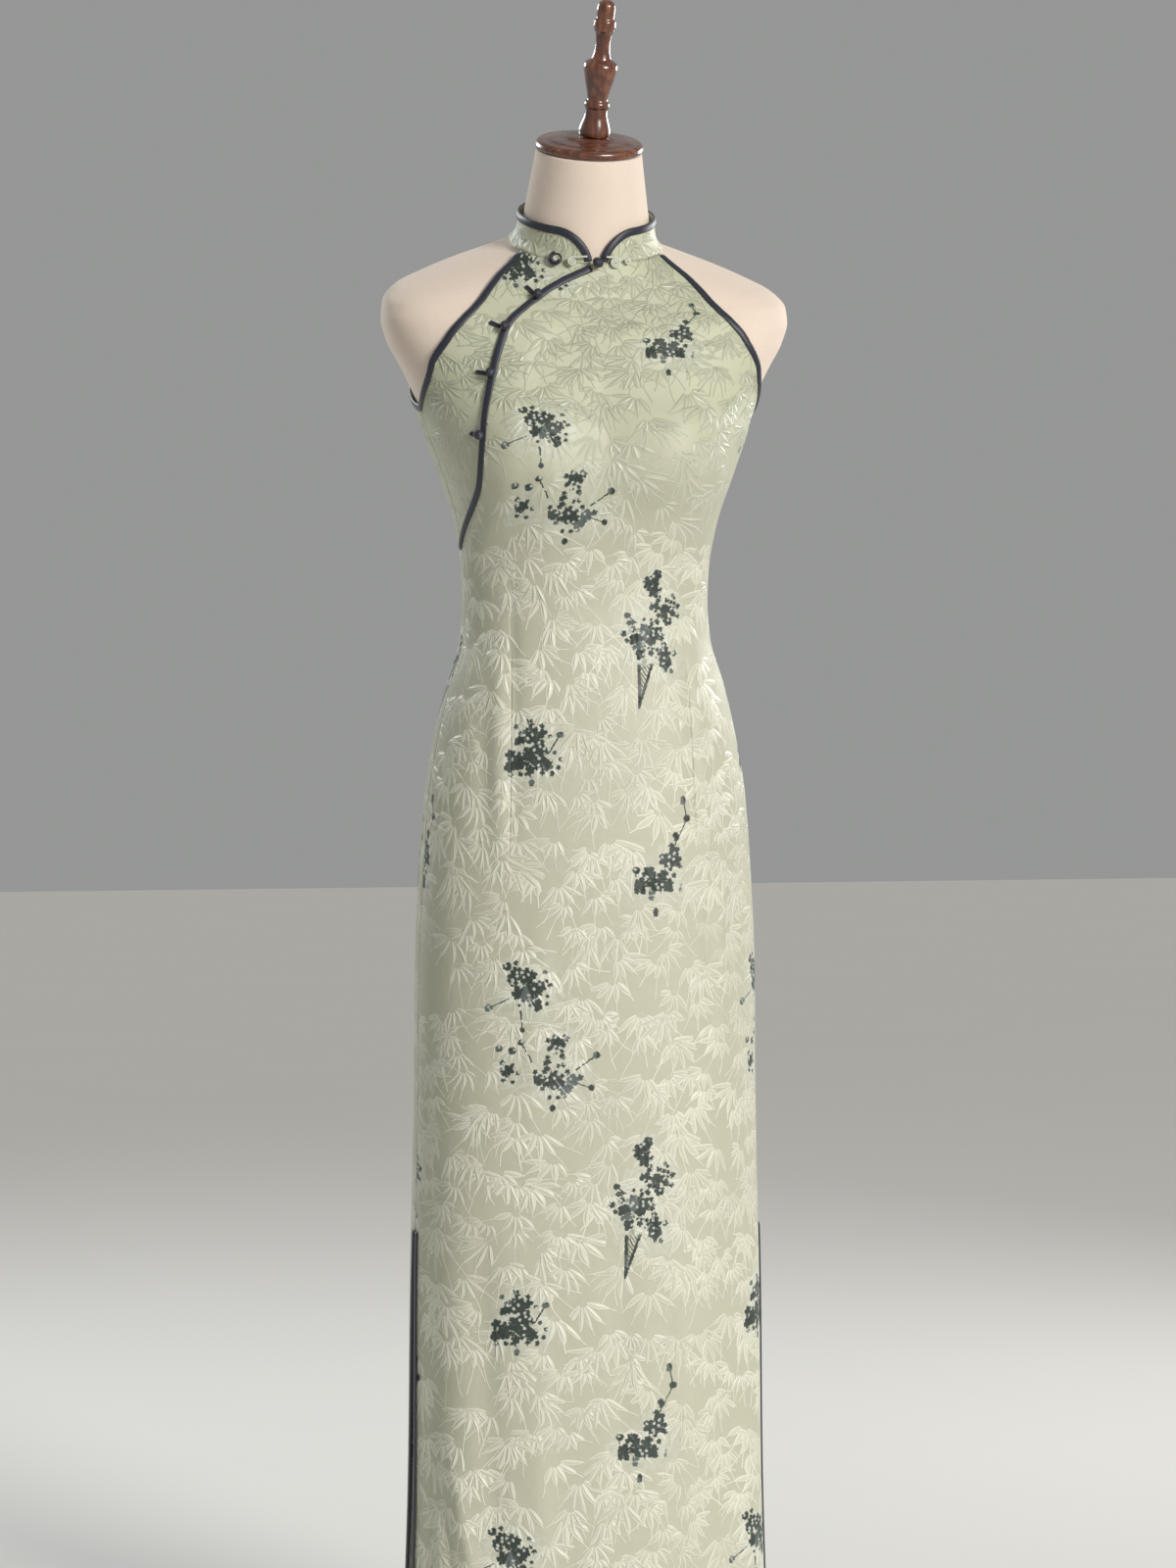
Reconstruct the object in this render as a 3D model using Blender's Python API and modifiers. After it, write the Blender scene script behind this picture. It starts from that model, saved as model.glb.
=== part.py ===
"""A long halter-neck cheongsam worn by a wooden-capped dress form on a round stand.

Metres, +Z up, the wearer faces -Y and the wearer's left is +X. The floor is z = 0, under the stand's centre.
Each horizontal ring of the figure is met at an angle from the centre front (0), through the wearer's left
side (+90 degrees), to the centre back (180), and at a height. Cloth lies a set distance out from those rings.
"""

import math
from collections import namedtuple

import bmesh
import bpy
import numpy as np
from mathutils import Matrix, Vector

# Driving dimensions
WAIST = 1.100  # height of the natural waist over the floor
NECK_SEAM = WAIST + 0.349  # ring where the collar is sewn on
COLLAR_HEIGHT = 0.0305
COLLAR_END = math.radians(4.2)  # each end stops this far from the centre front
COLLAR_ROUND = math.radians(34)  # the upper edge is at its full height from here back
NECK_TOP = WAIST + 0.445
FORM_BOTTOM = WAIST - 0.380
HEM = WAIST - 0.980
SLIT_TOP = WAIST - 0.590
ARMHOLE_BOTTOM = WAIST + 0.194
ARMHOLE_TURN = WAIST + 0.229  # the armhole starts to round towards the side seam here
PLACKET_END = WAIST + 0.060

CLOTH = 0.0012  # thickness of a panel
EASE = 0.0023  # air between the form and the cloth
OVERLAP_LIFT = 0.0025  # the front rides this much higher where it covers the under-front
LIFT_FULL = 0.024  # distance from the front's slanting edge that is lifted in full
LIFT_FADE = 0.050  # and where the lift has gone
OVERLAP = 0.018  # hidden width of the under-front below that edge
UNDER_FRONT_BOTTOM = PLACKET_END - 0.015
SEAM_GAP = 0.00025  # each panel stops this short of a seam
COLLAR_GAP = 0.0012
COLLAR_LEAST = 0.0025  # the collar's height at its ends
SIDE_SEAM = math.radians(82)  # set a little forward of the widest point

BINDING_WIDTH = 0.006
BINDING_CLOTH = 0.0008
BINDING_GAP = 0.0005  # from the cloth's cut edge
BINDING_LIFT = 0.0009  # from the cloth's outer face
SLIT_HALF_GAP = 0.0020  # just below the slit's top
SLIT_SPREAD = 0.0050  # further opening of each edge at the hem
SLIT_EASE = 0.010  # height over which a slit's edges part

KNOT_RADIUS = 0.0050
COLLAR_KNOT_RADIUS = 0.0058
PART_GAP = 0.0004

FINIAL_LEAN = math.radians(2.5)  # towards the wearer's left
FINIAL_OFFSET = 0.004
POLE_RADIUS = 0.0125
BASE_RADIUS = 0.170

# The figure's rings. half_width, front and back are measured from the centre; fullness 2 is an ellipse and
# more is squarer; a ring tilts forward by tilt (rise over run) and its centre leans by lean along Y.
Ring = namedtuple("Ring", "height half_width front back fullness tilt lean")
FIGURE = (
    Ring(WAIST - 0.3135, 0.1608, 0.1135, 0.1215, 2.30, 0.00, 0.0),
    Ring(WAIST - 0.2660, 0.1583, 0.1140, 0.1255, 2.30, 0.00, 0.0),
    Ring(WAIST - 0.2290, 0.1560, 0.1130, 0.1260, 2.30, 0.00, 0.0),
    Ring(WAIST - 0.1814, 0.1522, 0.1110, 0.1205, 2.28, 0.00, 0.0),
    Ring(WAIST - 0.1280, 0.1436, 0.1070, 0.1085, 2.26, 0.00, 0.0),
    Ring(WAIST - 0.0760, 0.1317, 0.1000, 0.0955, 2.22, 0.00, 0.0),
    Ring(WAIST - 0.0285, 0.1180, 0.0910, 0.0865, 2.20, 0.00, 0.0),
    Ring(WAIST + 0.0050, 0.1156, 0.0865, 0.0835, 2.20, 0.00, 0.0),
    Ring(WAIST + 0.0350, 0.1165, 0.0885, 0.0840, 2.22, 0.00, 0.0),
    Ring(WAIST + 0.0800, 0.1230, 0.1000, 0.0900, 2.30, 0.00, 0.0),
    Ring(WAIST + 0.1330, 0.1393, 0.1160, 0.0985, 2.42, 0.00, 0.0),
    Ring(WAIST + 0.1620, 0.1500, 0.1160, 0.1015, 2.46, 0.00, 0.0),
    Ring(WAIST + 0.2000, 0.1630, 0.1060, 0.1035, 2.50, 0.00, 0.0),
    Ring(WAIST + 0.2300, 0.1775, 0.0980, 0.1020, 2.52, 0.00, 0.0),
    Ring(WAIST + 0.2560, 0.1915, 0.0890, 0.0990, 2.60, 0.00, 0.0),
    Ring(WAIST + 0.2770, 0.1970, 0.0820, 0.0940, 2.65, 0.08, 0.0),
    Ring(WAIST + 0.2930, 0.1955, 0.0755, 0.0885, 2.60, 0.17, 0.0),
    Ring(WAIST + 0.3055, 0.1855, 0.0705, 0.0835, 2.50, 0.25, 0.0),
    Ring(WAIST + 0.3175, 0.1600, 0.0665, 0.0790, 2.40, 0.31, -0.0005),
    Ring(WAIST + 0.3275, 0.1330, 0.0630, 0.0750, 2.30, 0.36, -0.0010),
    Ring(WAIST + 0.3370, 0.1040, 0.0600, 0.0705, 2.20, 0.39, -0.0015),
    Ring(NECK_SEAM, 0.0720, 0.0570, 0.0665, 2.10, 0.40, -0.0020),
    Ring(WAIST + 0.3640, 0.0630, 0.0550, 0.0600, 2.03, 0.39, -0.0050),
    Ring(WAIST + 0.3850, 0.0595, 0.0530, 0.0560, 2.00, 0.37, -0.0090),
    Ring(WAIST + 0.4100, 0.0557, 0.0520, 0.0535, 2.00, 0.35, -0.0145),
    Ring(WAIST + 0.4300, 0.0527, 0.0510, 0.0518, 2.00, 0.34, -0.0195),
    Ring(NECK_TOP, 0.0507, 0.0500, 0.0502, 2.00, 0.335, -0.0225),
)
FORM_FOOT = (
    Ring(FORM_BOTTOM, 0.1500, 0.1040, 0.1090, 2.28, 0.0, 0.0),
    Ring(FORM_BOTTOM + 0.004, 0.1565, 0.1100, 0.1155, 2.29, 0.0, 0.0),
    Ring(FORM_BOTTOM + 0.016, 0.1600, 0.1125, 0.1190, 2.30, 0.0, 0.0),
)
SKIRT = (
    Ring(HEM, 0.1745, 0.1070, 0.1110, 2.14, 0.0, 0.0),
    Ring(WAIST - 0.8360, 0.1700, 0.1070, 0.1120, 2.16, 0.0, 0.0),
    Ring(WAIST - 0.6460, 0.1675, 0.1080, 0.1135, 2.20, 0.0, 0.0),
    Ring(WAIST - 0.5510, 0.1650, 0.1095, 0.1155, 2.22, 0.0, 0.0),
    Ring(WAIST - 0.4560, 0.1630, 0.1115, 0.1180, 2.25, 0.0, 0.0),
    Ring(WAIST - 0.3610, 0.1622, 0.1130, 0.1205, 2.28, 0.0, 0.0),
)
FORM_RINGS = FORM_FOOT + FIGURE
CLOTH_RINGS = SKIRT + FIGURE

BUST_HEIGHT = WAIST + 0.140
BUST_FROM_CENTRE = 0.080
BUST_DEPTH = 0.019
BUST_SPREAD = 0.041

# Soft upright folds of the skirt: where they stand, how wide and how deep they are at the hem.
Flute = namedtuple("Flute", "angle_deg width_deg depth")
FLUTES = (
    Flute(-66, 8, -0.0040),
    Flute(-44, 11, 0.0030),
    Flute(-12, 15, -0.0025),
    Flute(24, 13, 0.0025),
    Flute(47, 9, -0.0035),
    Flute(65, 9, 0.0030),
    Flute(112, 12, -0.0045),
    Flute(140, 13, 0.0050),
    Flute(170, 13, -0.0045),
    Flute(203, 13, 0.0050),
    Flute(236, 12, -0.0045),
)
FLUTES_START = WAIST - 0.300

# Edges of the panels: distance from the centre line at each height.
Edge = namedtuple("Edge", "height from_centre")
ARMHOLE = (
    Edge(ARMHOLE_BOTTOM, 0.1585),
    Edge(ARMHOLE_TURN, 0.1575),
    Edge(WAIST + 0.257, 0.1425),
    Edge(WAIST + 0.291, 0.1205),
    Edge(WAIST + 0.328, 0.0950),
    Edge(NECK_SEAM, 0.0655),
)
BACK_ARMHOLE = (
    Edge(ARMHOLE_BOTTOM, 0.1585),
    Edge(ARMHOLE_TURN, 0.1560),
    Edge(WAIST + 0.257, 0.1340),
    Edge(WAIST + 0.291, 0.1020),
    Edge(WAIST + 0.328, 0.0630),
    Edge(NECK_SEAM, 0.0440),
)
PLACKET = (
    Edge(PLACKET_END, 0.1120),
    Edge(WAIST + 0.0855, 0.1125),
    Edge(WAIST + 0.1140, 0.1135),
    Edge(WAIST + 0.1425, 0.1134),
    Edge(WAIST + 0.1710, 0.1125),
    Edge(WAIST + 0.1995, 0.1085),
    Edge(WAIST + 0.2280, 0.1030),
    Edge(WAIST + 0.2470, 0.0975),
    Edge(WAIST + 0.2710, 0.0885),
    Edge(WAIST + 0.2920, 0.0740),
    Edge(WAIST + 0.3130, 0.0570),
    Edge(WAIST + 0.3320, 0.0335),
    Edge(NECK_SEAM, 0.0),
)
PLACKET_TURN = WAIST + 0.120  # below this the front's edge swings round to the side seam

KNOT_HEIGHTS = (WAIST + 0.311, WAIST + 0.262, WAIST + 0.218, WAIST + 0.162)

# Coiled cords beside the collar knot: offset from the centre line, size, and colour of the cord.
Coil = namedtuple("Coil", "name from_centre radius dark")
COILS = (
    Coil("collar_coil_dark", -0.0360, 0.0080, True),
    Coil("collar_coil_right", -0.0220, 0.0052, False),
    Coil("collar_coil_left", 0.0160, 0.0062, False),
    Coil("collar_coil_tip", 0.0272, 0.0042, False),
)
COIL_THICKNESS = 0.0022

LEG_LENGTH = 0.0125
LEG_WIDTH = 0.0040
LEG_THICKNESS = 0.0020

# Turned profiles: height along the axis and radius.
Turn = namedtuple("Turn", "height radius")
CAP_PROFILE = (
    Turn(0.0130, 0.0), Turn(0.0130, 0.0225), Turn(0.0112, 0.0245), Turn(0.0106, 0.0378),
    Turn(0.0092, 0.0415), Turn(0.0086, 0.0490), Turn(0.0062, 0.0515), Turn(0.0030, 0.0522),
    Turn(0.0004, 0.0504), Turn(0.0, 0.0),
)
FINIAL_PROFILE = (
    Turn(0.1297, 0.0), Turn(0.1288, 0.0050), Turn(0.1256, 0.0082), Turn(0.1200, 0.0090),
    Turn(0.1125, 0.0084), Turn(0.1097, 0.0104), Turn(0.1042, 0.0108), Turn(0.1009, 0.0098),
    Turn(0.0981, 0.0078), Turn(0.0893, 0.0070), Turn(0.0800, 0.0076), Turn(0.0730, 0.0098),
    Turn(0.0702, 0.0152), Turn(0.0665, 0.0166), Turn(0.0628, 0.0160), Turn(0.0521, 0.0136),
    Turn(0.0409, 0.0106), Turn(0.0344, 0.0096), Turn(0.0321, 0.0120), Turn(0.0284, 0.0123),
    Turn(0.0260, 0.0106), Turn(0.0186, 0.0112), Turn(0.0102, 0.0142), Turn(0.0047, 0.0156),
    Turn(0.0, 0.0150), Turn(0.0, 0.0),
)
BASE_PROFILE = (
    Turn(0.0440, 0.0), Turn(0.0440, 0.0190), Turn(0.0400, 0.0225), Turn(0.0240, 0.0270),
    Turn(0.0185, 0.0420), Turn(0.0150, 0.0900), Turn(0.0110, 0.1560), Turn(0.0075, 0.1675),
    Turn(0.0030, BASE_RADIUS), Turn(0.0, BASE_RADIUS - 0.002), Turn(0.0, 0.0),
)

# Rows of the panels' grids, closer together where the figure curves more.
SKIRT_ROWS = (HEM, HEM + 0.130, HEM + 0.260, SLIT_TOP - SLIT_EASE, SLIT_TOP, SLIT_TOP + 0.105)
TORSO_ROWS = tuple(WAIST + step for step in (
    -0.385, -0.315, -0.260, -0.210, -0.165, -0.125, -0.090, -0.056, -0.026, 0.000, 0.030))
CHEST_ROWS = (PLACKET_END, WAIST + 0.072, WAIST + 0.086, WAIST + 0.109, WAIST + 0.132, WAIST + 0.154, WAIST + 0.176,
              ARMHOLE_BOTTOM, ARMHOLE_BOTTOM + 0.003, ARMHOLE_BOTTOM + 0.010, ARMHOLE_BOTTOM + 0.021,
              ARMHOLE_TURN, WAIST + 0.245, WAIST + 0.262, WAIST + 0.279, WAIST + 0.295, WAIST + 0.309,
              WAIST + 0.321, WAIST + 0.332, WAIST + 0.342, NECK_SEAM)
PANEL_ROWS = SKIRT_ROWS + TORSO_ROWS + CHEST_ROWS
FRONT_COLUMNS = 26
BACK_COLUMNS = 22
UNDER_FRONT_COLUMNS = 6
BINDING_STOP = NECK_SEAM - 0.003  # bindings end just short of the collar

Material = namedtuple("Material", "name colour roughness metallic")
SILK = Material("celadon_silk", (0.60, 0.63, 0.47), 0.42, 0.0)
DARK_SATIN = Material("ink_satin", (0.022, 0.025, 0.040), 0.35, 0.0)
PALE_CORD = Material("pale_cord", (0.66, 0.66, 0.54), 0.45, 0.0)
LINEN = Material("form_linen", (0.78, 0.67, 0.56), 0.85, 0.0)
WALNUT = Material("walnut", (0.16, 0.075, 0.045), 0.28, 0.0)
STEEL = Material("stand_steel", (0.06, 0.055, 0.05), 0.40, 1.0)


def clear_scene():
    """Removes whatever the scene holds."""
    for old in list(bpy.data.objects):
        bpy.data.objects.remove(old, do_unlink=True)


def material(spec):
    """The Blender material of that spec, made once."""
    found = bpy.data.materials.get(spec.name)
    if found is None:
        found = bpy.data.materials.new(spec.name)
        found.use_nodes = True
        shader = found.node_tree.nodes["Principled BSDF"]
        shader.inputs["Base Color"].default_value = (*spec.colour, 1.0)
        shader.inputs["Roughness"].default_value = spec.roughness
        shader.inputs["Metallic"].default_value = spec.metallic
        found.diffuse_color = (*spec.colour, 1.0)
    return found


def add_object(name, mesh, spec, smooth_angle_deg=40):
    """Links a mesh as a named object with its material, smooth but for edges sharper than the angle."""
    mesh.materials.append(material(spec))
    mesh.shade_smooth()
    mesh.set_sharp_from_angle(angle=math.radians(smooth_angle_deg))
    made = bpy.data.objects.new(name, mesh)
    dress_stand.objects.link(made)
    return made


def smooth_between(at, known, wanted):
    """A cubic through the known values whose slopes are limited, so it never swings past them."""
    at, known, wanted = (np.asarray(values, float) for values in (at, known, wanted))
    step = np.diff(at)
    slope = np.diff(known) / step
    same_way = slope[:-1] * slope[1:] > 0
    low, high = np.where(same_way, slope[:-1], 1.0), np.where(same_way, slope[1:], 1.0)
    before, after = 2 * step[1:] + step[:-1], step[1:] + 2 * step[:-1]
    tangent = np.concatenate([
        slope[:1],
        np.where(same_way, (before + after) / (before / low + after / high), 0.0),
        slope[-1:],
    ])
    i = np.clip(np.searchsorted(at, wanted) - 1, 0, len(step) - 1)
    t = np.clip((wanted - at[i]) / step[i], 0.0, 1.0)
    return (
        (1 + 2 * t) * (1 - t) ** 2 * known[i]
        + t * (1 - t) ** 2 * step[i] * tangent[i]
        + t * t * (3 - 2 * t) * known[i + 1]
        + t * t * (t - 1) * step[i] * tangent[i + 1]
    )


def ramp(share):
    """Smooth rise from 0 to 1 as share goes from 0 to 1."""
    share = np.clip(share, 0.0, 1.0)
    return share * share * (3 - 2 * share)


def column(rows, name):
    return [getattr(row, name) for row in rows]


def ring_point(rings, angle, height):
    """The point of the figure at that angle and ring height: a superellipse with two bust swells."""
    angle, height = np.broadcast_arrays(np.asarray(angle, float), np.asarray(height, float))
    heights = column(rings, "height")
    half_width, front, back, fullness, tilt, lean = (
        smooth_between(heights, column(rings, name), height) for name in Ring._fields[1:]
    )
    sin, cos = np.sin(angle), np.cos(angle)
    spread = (np.abs(sin) ** fullness + np.abs(cos) ** fullness) ** (1 / fullness)
    x = half_width * sin / spread
    y = lean - np.where(cos > 0, front, back) * cos / spread
    across = (np.abs(x) - BUST_FROM_CENTRE) / BUST_SPREAD
    upward = (height - BUST_HEIGHT) / BUST_SPREAD
    y = y - BUST_DEPTH * np.exp(-(across**2 + upward**2) / 2) * ramp(cos / 0.4)
    return np.stack([x, y, height + tilt * y], axis=-1)


def ring_normal(rings, angle, height):
    """The outward normal there, from the slopes round the ring and up the figure."""
    turn, rise = 0.004, 0.0008
    low = np.maximum(height - rise, rings[0].height)
    high = np.minimum(height + rise, rings[-1].height)
    round_it = ring_point(rings, angle + turn, height) - ring_point(rings, angle - turn, height)
    up_it = ring_point(rings, angle, high) - ring_point(rings, angle, low)
    normal = np.cross(round_it, up_it)
    return normal / np.linalg.norm(normal, axis=-1, keepdims=True)


def flute_depth(angle, height):
    """How far the skirt's upright folds move the cloth out at that angle and height."""
    depth = np.zeros(np.broadcast(angle, height).shape)
    for flute in FLUTES:
        away = np.degrees(angle) - flute.angle_deg
        away = (away + 180) % 360 - 180
        depth = depth + flute.depth * np.exp(-((away / flute.width_deg) ** 2))
    return depth * ramp((FLUTES_START - height) / (FLUTES_START - HEM))


def on_cloth(angle, height, out):
    """A point that lies out from the figure's ring, on the dress as it is worn."""
    angle, height = np.broadcast_arrays(np.asarray(angle, float), np.asarray(height, float))
    far = np.asarray(out)[..., None] + flute_depth(angle, height)[..., None]
    return ring_point(CLOTH_RINGS, angle, height) + far * ring_normal(CLOTH_RINGS, angle, height)


def angle_at(from_centre, height):
    """The front angle at which the cloth's ring of that height lies that far from the centre line."""
    turn = np.radians(np.linspace(0, 90, 181))
    return np.array([
        np.interp(x, ring_point(CLOTH_RINGS, turn, np.full_like(turn, h))[:, 0], turn)
        for x, h in zip(from_centre, height)
    ])


def metres_per_radian(angle, height):
    """Length of cloth that a turn of one radian covers there."""
    turn = 0.01
    span = ring_point(CLOTH_RINGS, angle + turn, height) - ring_point(CLOTH_RINGS, angle - turn, height)
    return np.linalg.norm(span, axis=-1) / (2 * turn)


def armhole_angle(edges, height, seam_angle):
    """The armhole's angle from the centre front or back, rounding into the side seam at its bottom."""
    by_width = angle_at(smooth_between(*zip(*edges), height), height)
    share = np.clip((ARMHOLE_TURN - height) / (ARMHOLE_TURN - ARMHOLE_BOTTOM), 0, 1)
    return by_width + (seam_angle - by_width) * (1 - np.sqrt(1 - share**2))


def side_angle(height, seam_angle, armhole=ARMHOLE):
    """A panel's side edge, from its own centre: the slit, the side seam and then the armhole."""
    drop = (SLIT_TOP - height) / (SLIT_TOP - HEM)
    parted = SLIT_HALF_GAP * ramp((SLIT_TOP - height) / SLIT_EASE) + SLIT_SPREAD * np.clip(drop, 0, 1)
    short = (SEAM_GAP + parted) / metres_per_radian(SIDE_SEAM, height)
    below = np.full_like(height, seam_angle) - short
    return np.where(height < ARMHOLE_BOTTOM, below, armhole_angle(armhole, height, seam_angle - short))


def front_angle(height):
    """The front's side edge, from the centre front."""
    return side_angle(height, SIDE_SEAM)


def back_angle(height):
    """The back's side edge, from the centre back."""
    return side_angle(height, math.pi - SIDE_SEAM, BACK_ARMHOLE)


def placket_angle(height):
    """The slanting edge of the front, from the side seam up to the centre front (negative angles)."""
    by_width = angle_at(smooth_between(*zip(*PLACKET), height), height)
    share = np.clip((PLACKET_TURN - height) / (PLACKET_TURN - PLACKET_END), 0, 1)
    return -(by_width + (front_angle(height) - by_width) * share**2)


def front_left_edge(height):
    """The front's edge at the wearer's right: side seam below the placket, placket above it."""
    return np.where(height < PLACKET_END, -front_angle(height), placket_angle(height))


def front_lift(points):
    """How much higher the front lies near its slanting edge, to clear the under-front below it."""
    height = np.linspace(PLACKET_END, NECK_SEAM, 80)
    edge = on_cloth(placket_angle(height), height, EASE)
    away = np.linalg.norm(points[..., None, :] - edge, axis=-1).min(axis=-1)
    return OVERLAP_LIFT * ramp((LIFT_FADE - away) / (LIFT_FADE - LIFT_FULL))


def front_point(angle, height, out=0.0):
    """A point on the front's inner face, moved out."""
    lift = front_lift(on_cloth(angle, height, EASE))
    return on_cloth(angle, height, EASE + lift + out)


def plain_point(angle, height, out=0.0):
    """A point on the inner face of a panel that lies straight on the form, moved out."""
    return on_cloth(angle, height, np.full(np.shape(angle), EASE + out))


def grid_mesh(name, points):
    """A mesh of quads over a grid of points, rows upward and columns anticlockwise from above."""
    rows, columns = points.shape[:2]
    index = np.arange(rows * columns).reshape(rows, columns)
    quads = np.stack([index[:-1, :-1], index[:-1, 1:], index[1:, 1:], index[1:, :-1]], axis=-1)
    half = columns // 2
    quads[:, half:] = np.roll(quads[:, half:], 1, axis=-1)  # both sides are split alike into triangles
    mesh = bpy.data.meshes.new(name)
    mesh.from_pydata(points.reshape(-1, 3).tolist(), [], quads.reshape(-1, 4).tolist())
    return mesh


def cloth_piece(name, points, spec=SILK):
    """A piece of cloth: the grid is its inner face, and the wall stands outward from it."""
    piece = add_object(name, grid_mesh(name, points), spec)
    wall = piece.modifiers.new("cloth", "SOLIDIFY")
    wall.thickness = CLOTH
    wall.offset = 1.0
    return piece


def panel(name, rows, columns, left_edge, right_edge, point):
    """A panel whose rows run from its left edge to its right edge at each height."""
    height = np.array(rows)[:, None]
    left, right = left_edge(height[:, 0])[:, None], right_edge(height[:, 0])[:, None]
    angle = left + (right - left) * np.linspace(0, 1, columns + 1)
    return cloth_piece(name, point(angle, np.broadcast_to(height, angle.shape)))


def swept(name, points, normals, side, spec=DARK_SATIN):
    """A folded binding along an edge: one leg on the cloth's outer face, one down its cut edge.

    side is +1 or -1 and says on which side of the direction of travel the cloth lies.
    """
    forward = np.diff(points, axis=0)
    forward /= np.linalg.norm(forward, axis=1, keepdims=True)
    before = np.vstack([forward[:1], forward])
    after = np.vstack([forward, forward[-1:]])
    inward = [side * np.cross(normals, way) for way in (before, after)]
    inward = [way / np.linalg.norm(way, axis=1, keepdims=True) for way in inward]
    share = 1 + (inward[0] * inward[1]).sum(axis=1, keepdims=True)
    inward = (inward[0] + inward[1]) / share
    outer = CLOTH + BINDING_LIFT
    section = np.array([
        (BINDING_WIDTH, outer),
        (BINDING_WIDTH, outer + BINDING_CLOTH),
        (-BINDING_GAP - BINDING_CLOTH, outer + BINDING_CLOTH),
        (-BINDING_GAP - BINDING_CLOTH, 0.0),
        (-BINDING_GAP, 0.0),
        (-BINDING_GAP, outer),
    ])
    rings = (
        points[:, None]
        + section[None, :, :1] * inward[:, None]
        + section[None, :, 1:] * normals[:, None]
    )
    count, around = rings.shape[:2]
    index = np.arange(count * around).reshape(count, around)
    beside = np.roll(index, -1, axis=1)
    sides = np.stack([index[:-1], beside[:-1], beside[1:], index[1:]], axis=-1).reshape(-1, 4)
    mesh = bpy.data.meshes.new(name)
    mesh.from_pydata(
        rings.reshape(-1, 3).tolist(), [], [*sides.tolist(), index[0].tolist(), index[-1].tolist()]
    )
    shape = bmesh.new()
    shape.from_mesh(mesh)
    bmesh.ops.recalc_face_normals(shape, faces=shape.faces)
    shape.to_mesh(mesh)
    shape.free()
    return add_object(name, mesh, spec, smooth_angle_deg=50)


def bind_edge(name, angle, height, point, side):
    """A binding along cloth edge points given by angle and height."""
    normals = ring_normal(CLOTH_RINGS, angle, height)
    return swept(name, point(angle, height), normals, side)


def turned(name, profile, spec, segments):
    """A turned piece from its profile, run down its outer side from the top."""
    mesh = bpy.data.meshes.new(name)
    ends = range(len(profile) - 1)
    mesh.from_pydata([(row.radius, 0.0, row.height) for row in profile], [(i, i + 1) for i in ends], [])
    piece = add_object(name, mesh, spec)
    screw = piece.modifiers.new("turn", "SCREW")
    screw.steps = screw.render_steps = segments
    screw.use_merge_vertices = True
    screw.merge_threshold = 0.0001
    screw.use_smooth_shade = True
    return piece


def surface_matrix(origin, normal, along):
    """A placement with its Z on the normal and its X towards along."""
    z = Vector(normal).normalized()
    x = Vector(along)
    x = (x - z * x.dot(z)).normalized()
    turn = Matrix((x, z.cross(x), z)).transposed().to_4x4()
    return Matrix.Translation(Vector(origin)) @ turn


def make_front():
    front = panel("front", PANEL_ROWS, FRONT_COLUMNS, front_left_edge, front_angle, front_point)
    rows = [row for row in CHEST_ROWS if row < NECK_SEAM] + [BINDING_STOP]
    height = np.array(sorted(set(rows)))
    bind_edge("placket_binding", placket_angle(height), height, front_point, -1)
    return front


def make_under_front():
    """The narrow panel at the wearer's right, partly hidden below the front."""
    rows = (UNDER_FRONT_BOTTOM, *CHEST_ROWS)

    def hidden_edge(height):
        reach = OVERLAP * (1 - 0.75 * ramp((height - WAIST - 0.25) / 0.10))
        covered = placket_angle(np.maximum(height, PLACKET_END))
        return covered + reach / metres_per_radian(covered, height)

    return panel("under_front", rows, UNDER_FRONT_COLUMNS, lambda height: -front_angle(height),
                 hidden_edge, plain_point)


def make_back():
    return panel("back", PANEL_ROWS, BACK_COLUMNS, lambda height: math.pi - back_angle(height),
                 lambda height: math.pi + back_angle(height), plain_point)


def make_armhole_binding(name, side):
    """Round one armhole: down the front's edge from the collar, then up the back's edge."""
    height = np.array([row for row in CHEST_ROWS if ARMHOLE_BOTTOM <= row < NECK_SEAM] + [BINDING_STOP])
    front = front_angle(height)[::-1]
    angle = side * np.concatenate([front, math.pi - back_angle(height)])
    both = np.concatenate([height[::-1], height])
    return bind_edge(name, angle, both, plain_point, -side)


def make_hem_binding(name, side_edge, centre, columns, point):
    """Down one slit, along the hem and up the other slit of a panel."""
    slit = np.array([row for row in SKIRT_ROWS if row < SLIT_TOP - SLIT_EASE / 2])[::-1]
    edge = side_edge(slit)
    along = np.linspace(-edge[-1], edge[-1], columns + 1)[1:-1]
    angle = centre + np.concatenate([-edge, along, edge[::-1]])
    height = np.concatenate([slit, np.full_like(along, HEM), slit[::-1]])
    return bind_edge(name, angle, height, point, 1)


def collar_columns():
    """Angles round the collar from its right end to its left end, close together at the rounded ends."""
    end = COLLAR_END + (COLLAR_ROUND - COLLAR_END) * np.array([0.0, 0.03, 0.09, 0.19, 0.33, 0.5, 0.73])
    middle = np.linspace(COLLAR_ROUND, 2 * math.pi - COLLAR_ROUND, 21)
    return np.concatenate([end, middle, 2 * math.pi - end[::-1]])


def collar_top(angle):
    """Ring height of the collar's upper edge, which rounds down to its two ends at the front."""
    from_end = np.minimum(angle, 2 * math.pi - angle) - COLLAR_END
    share = np.clip(from_end / (COLLAR_ROUND - COLLAR_END), 0, 1)
    rise = (1 - (1 - share) ** 2) ** 0.65
    return NECK_SEAM + COLLAR_GAP + COLLAR_LEAST + (COLLAR_HEIGHT - COLLAR_LEAST) * rise


def collar_point(angle, height, out=0.0):
    """A point on the collar's inner face: it stands a little away from the neck at its upper edge."""
    stand = EASE + 0.0018 * ramp((height - NECK_SEAM) / COLLAR_HEIGHT) + out
    return ring_point(CLOTH_RINGS, angle, height) + stand[..., None] * ring_normal(CLOTH_RINGS, angle, height)


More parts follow.
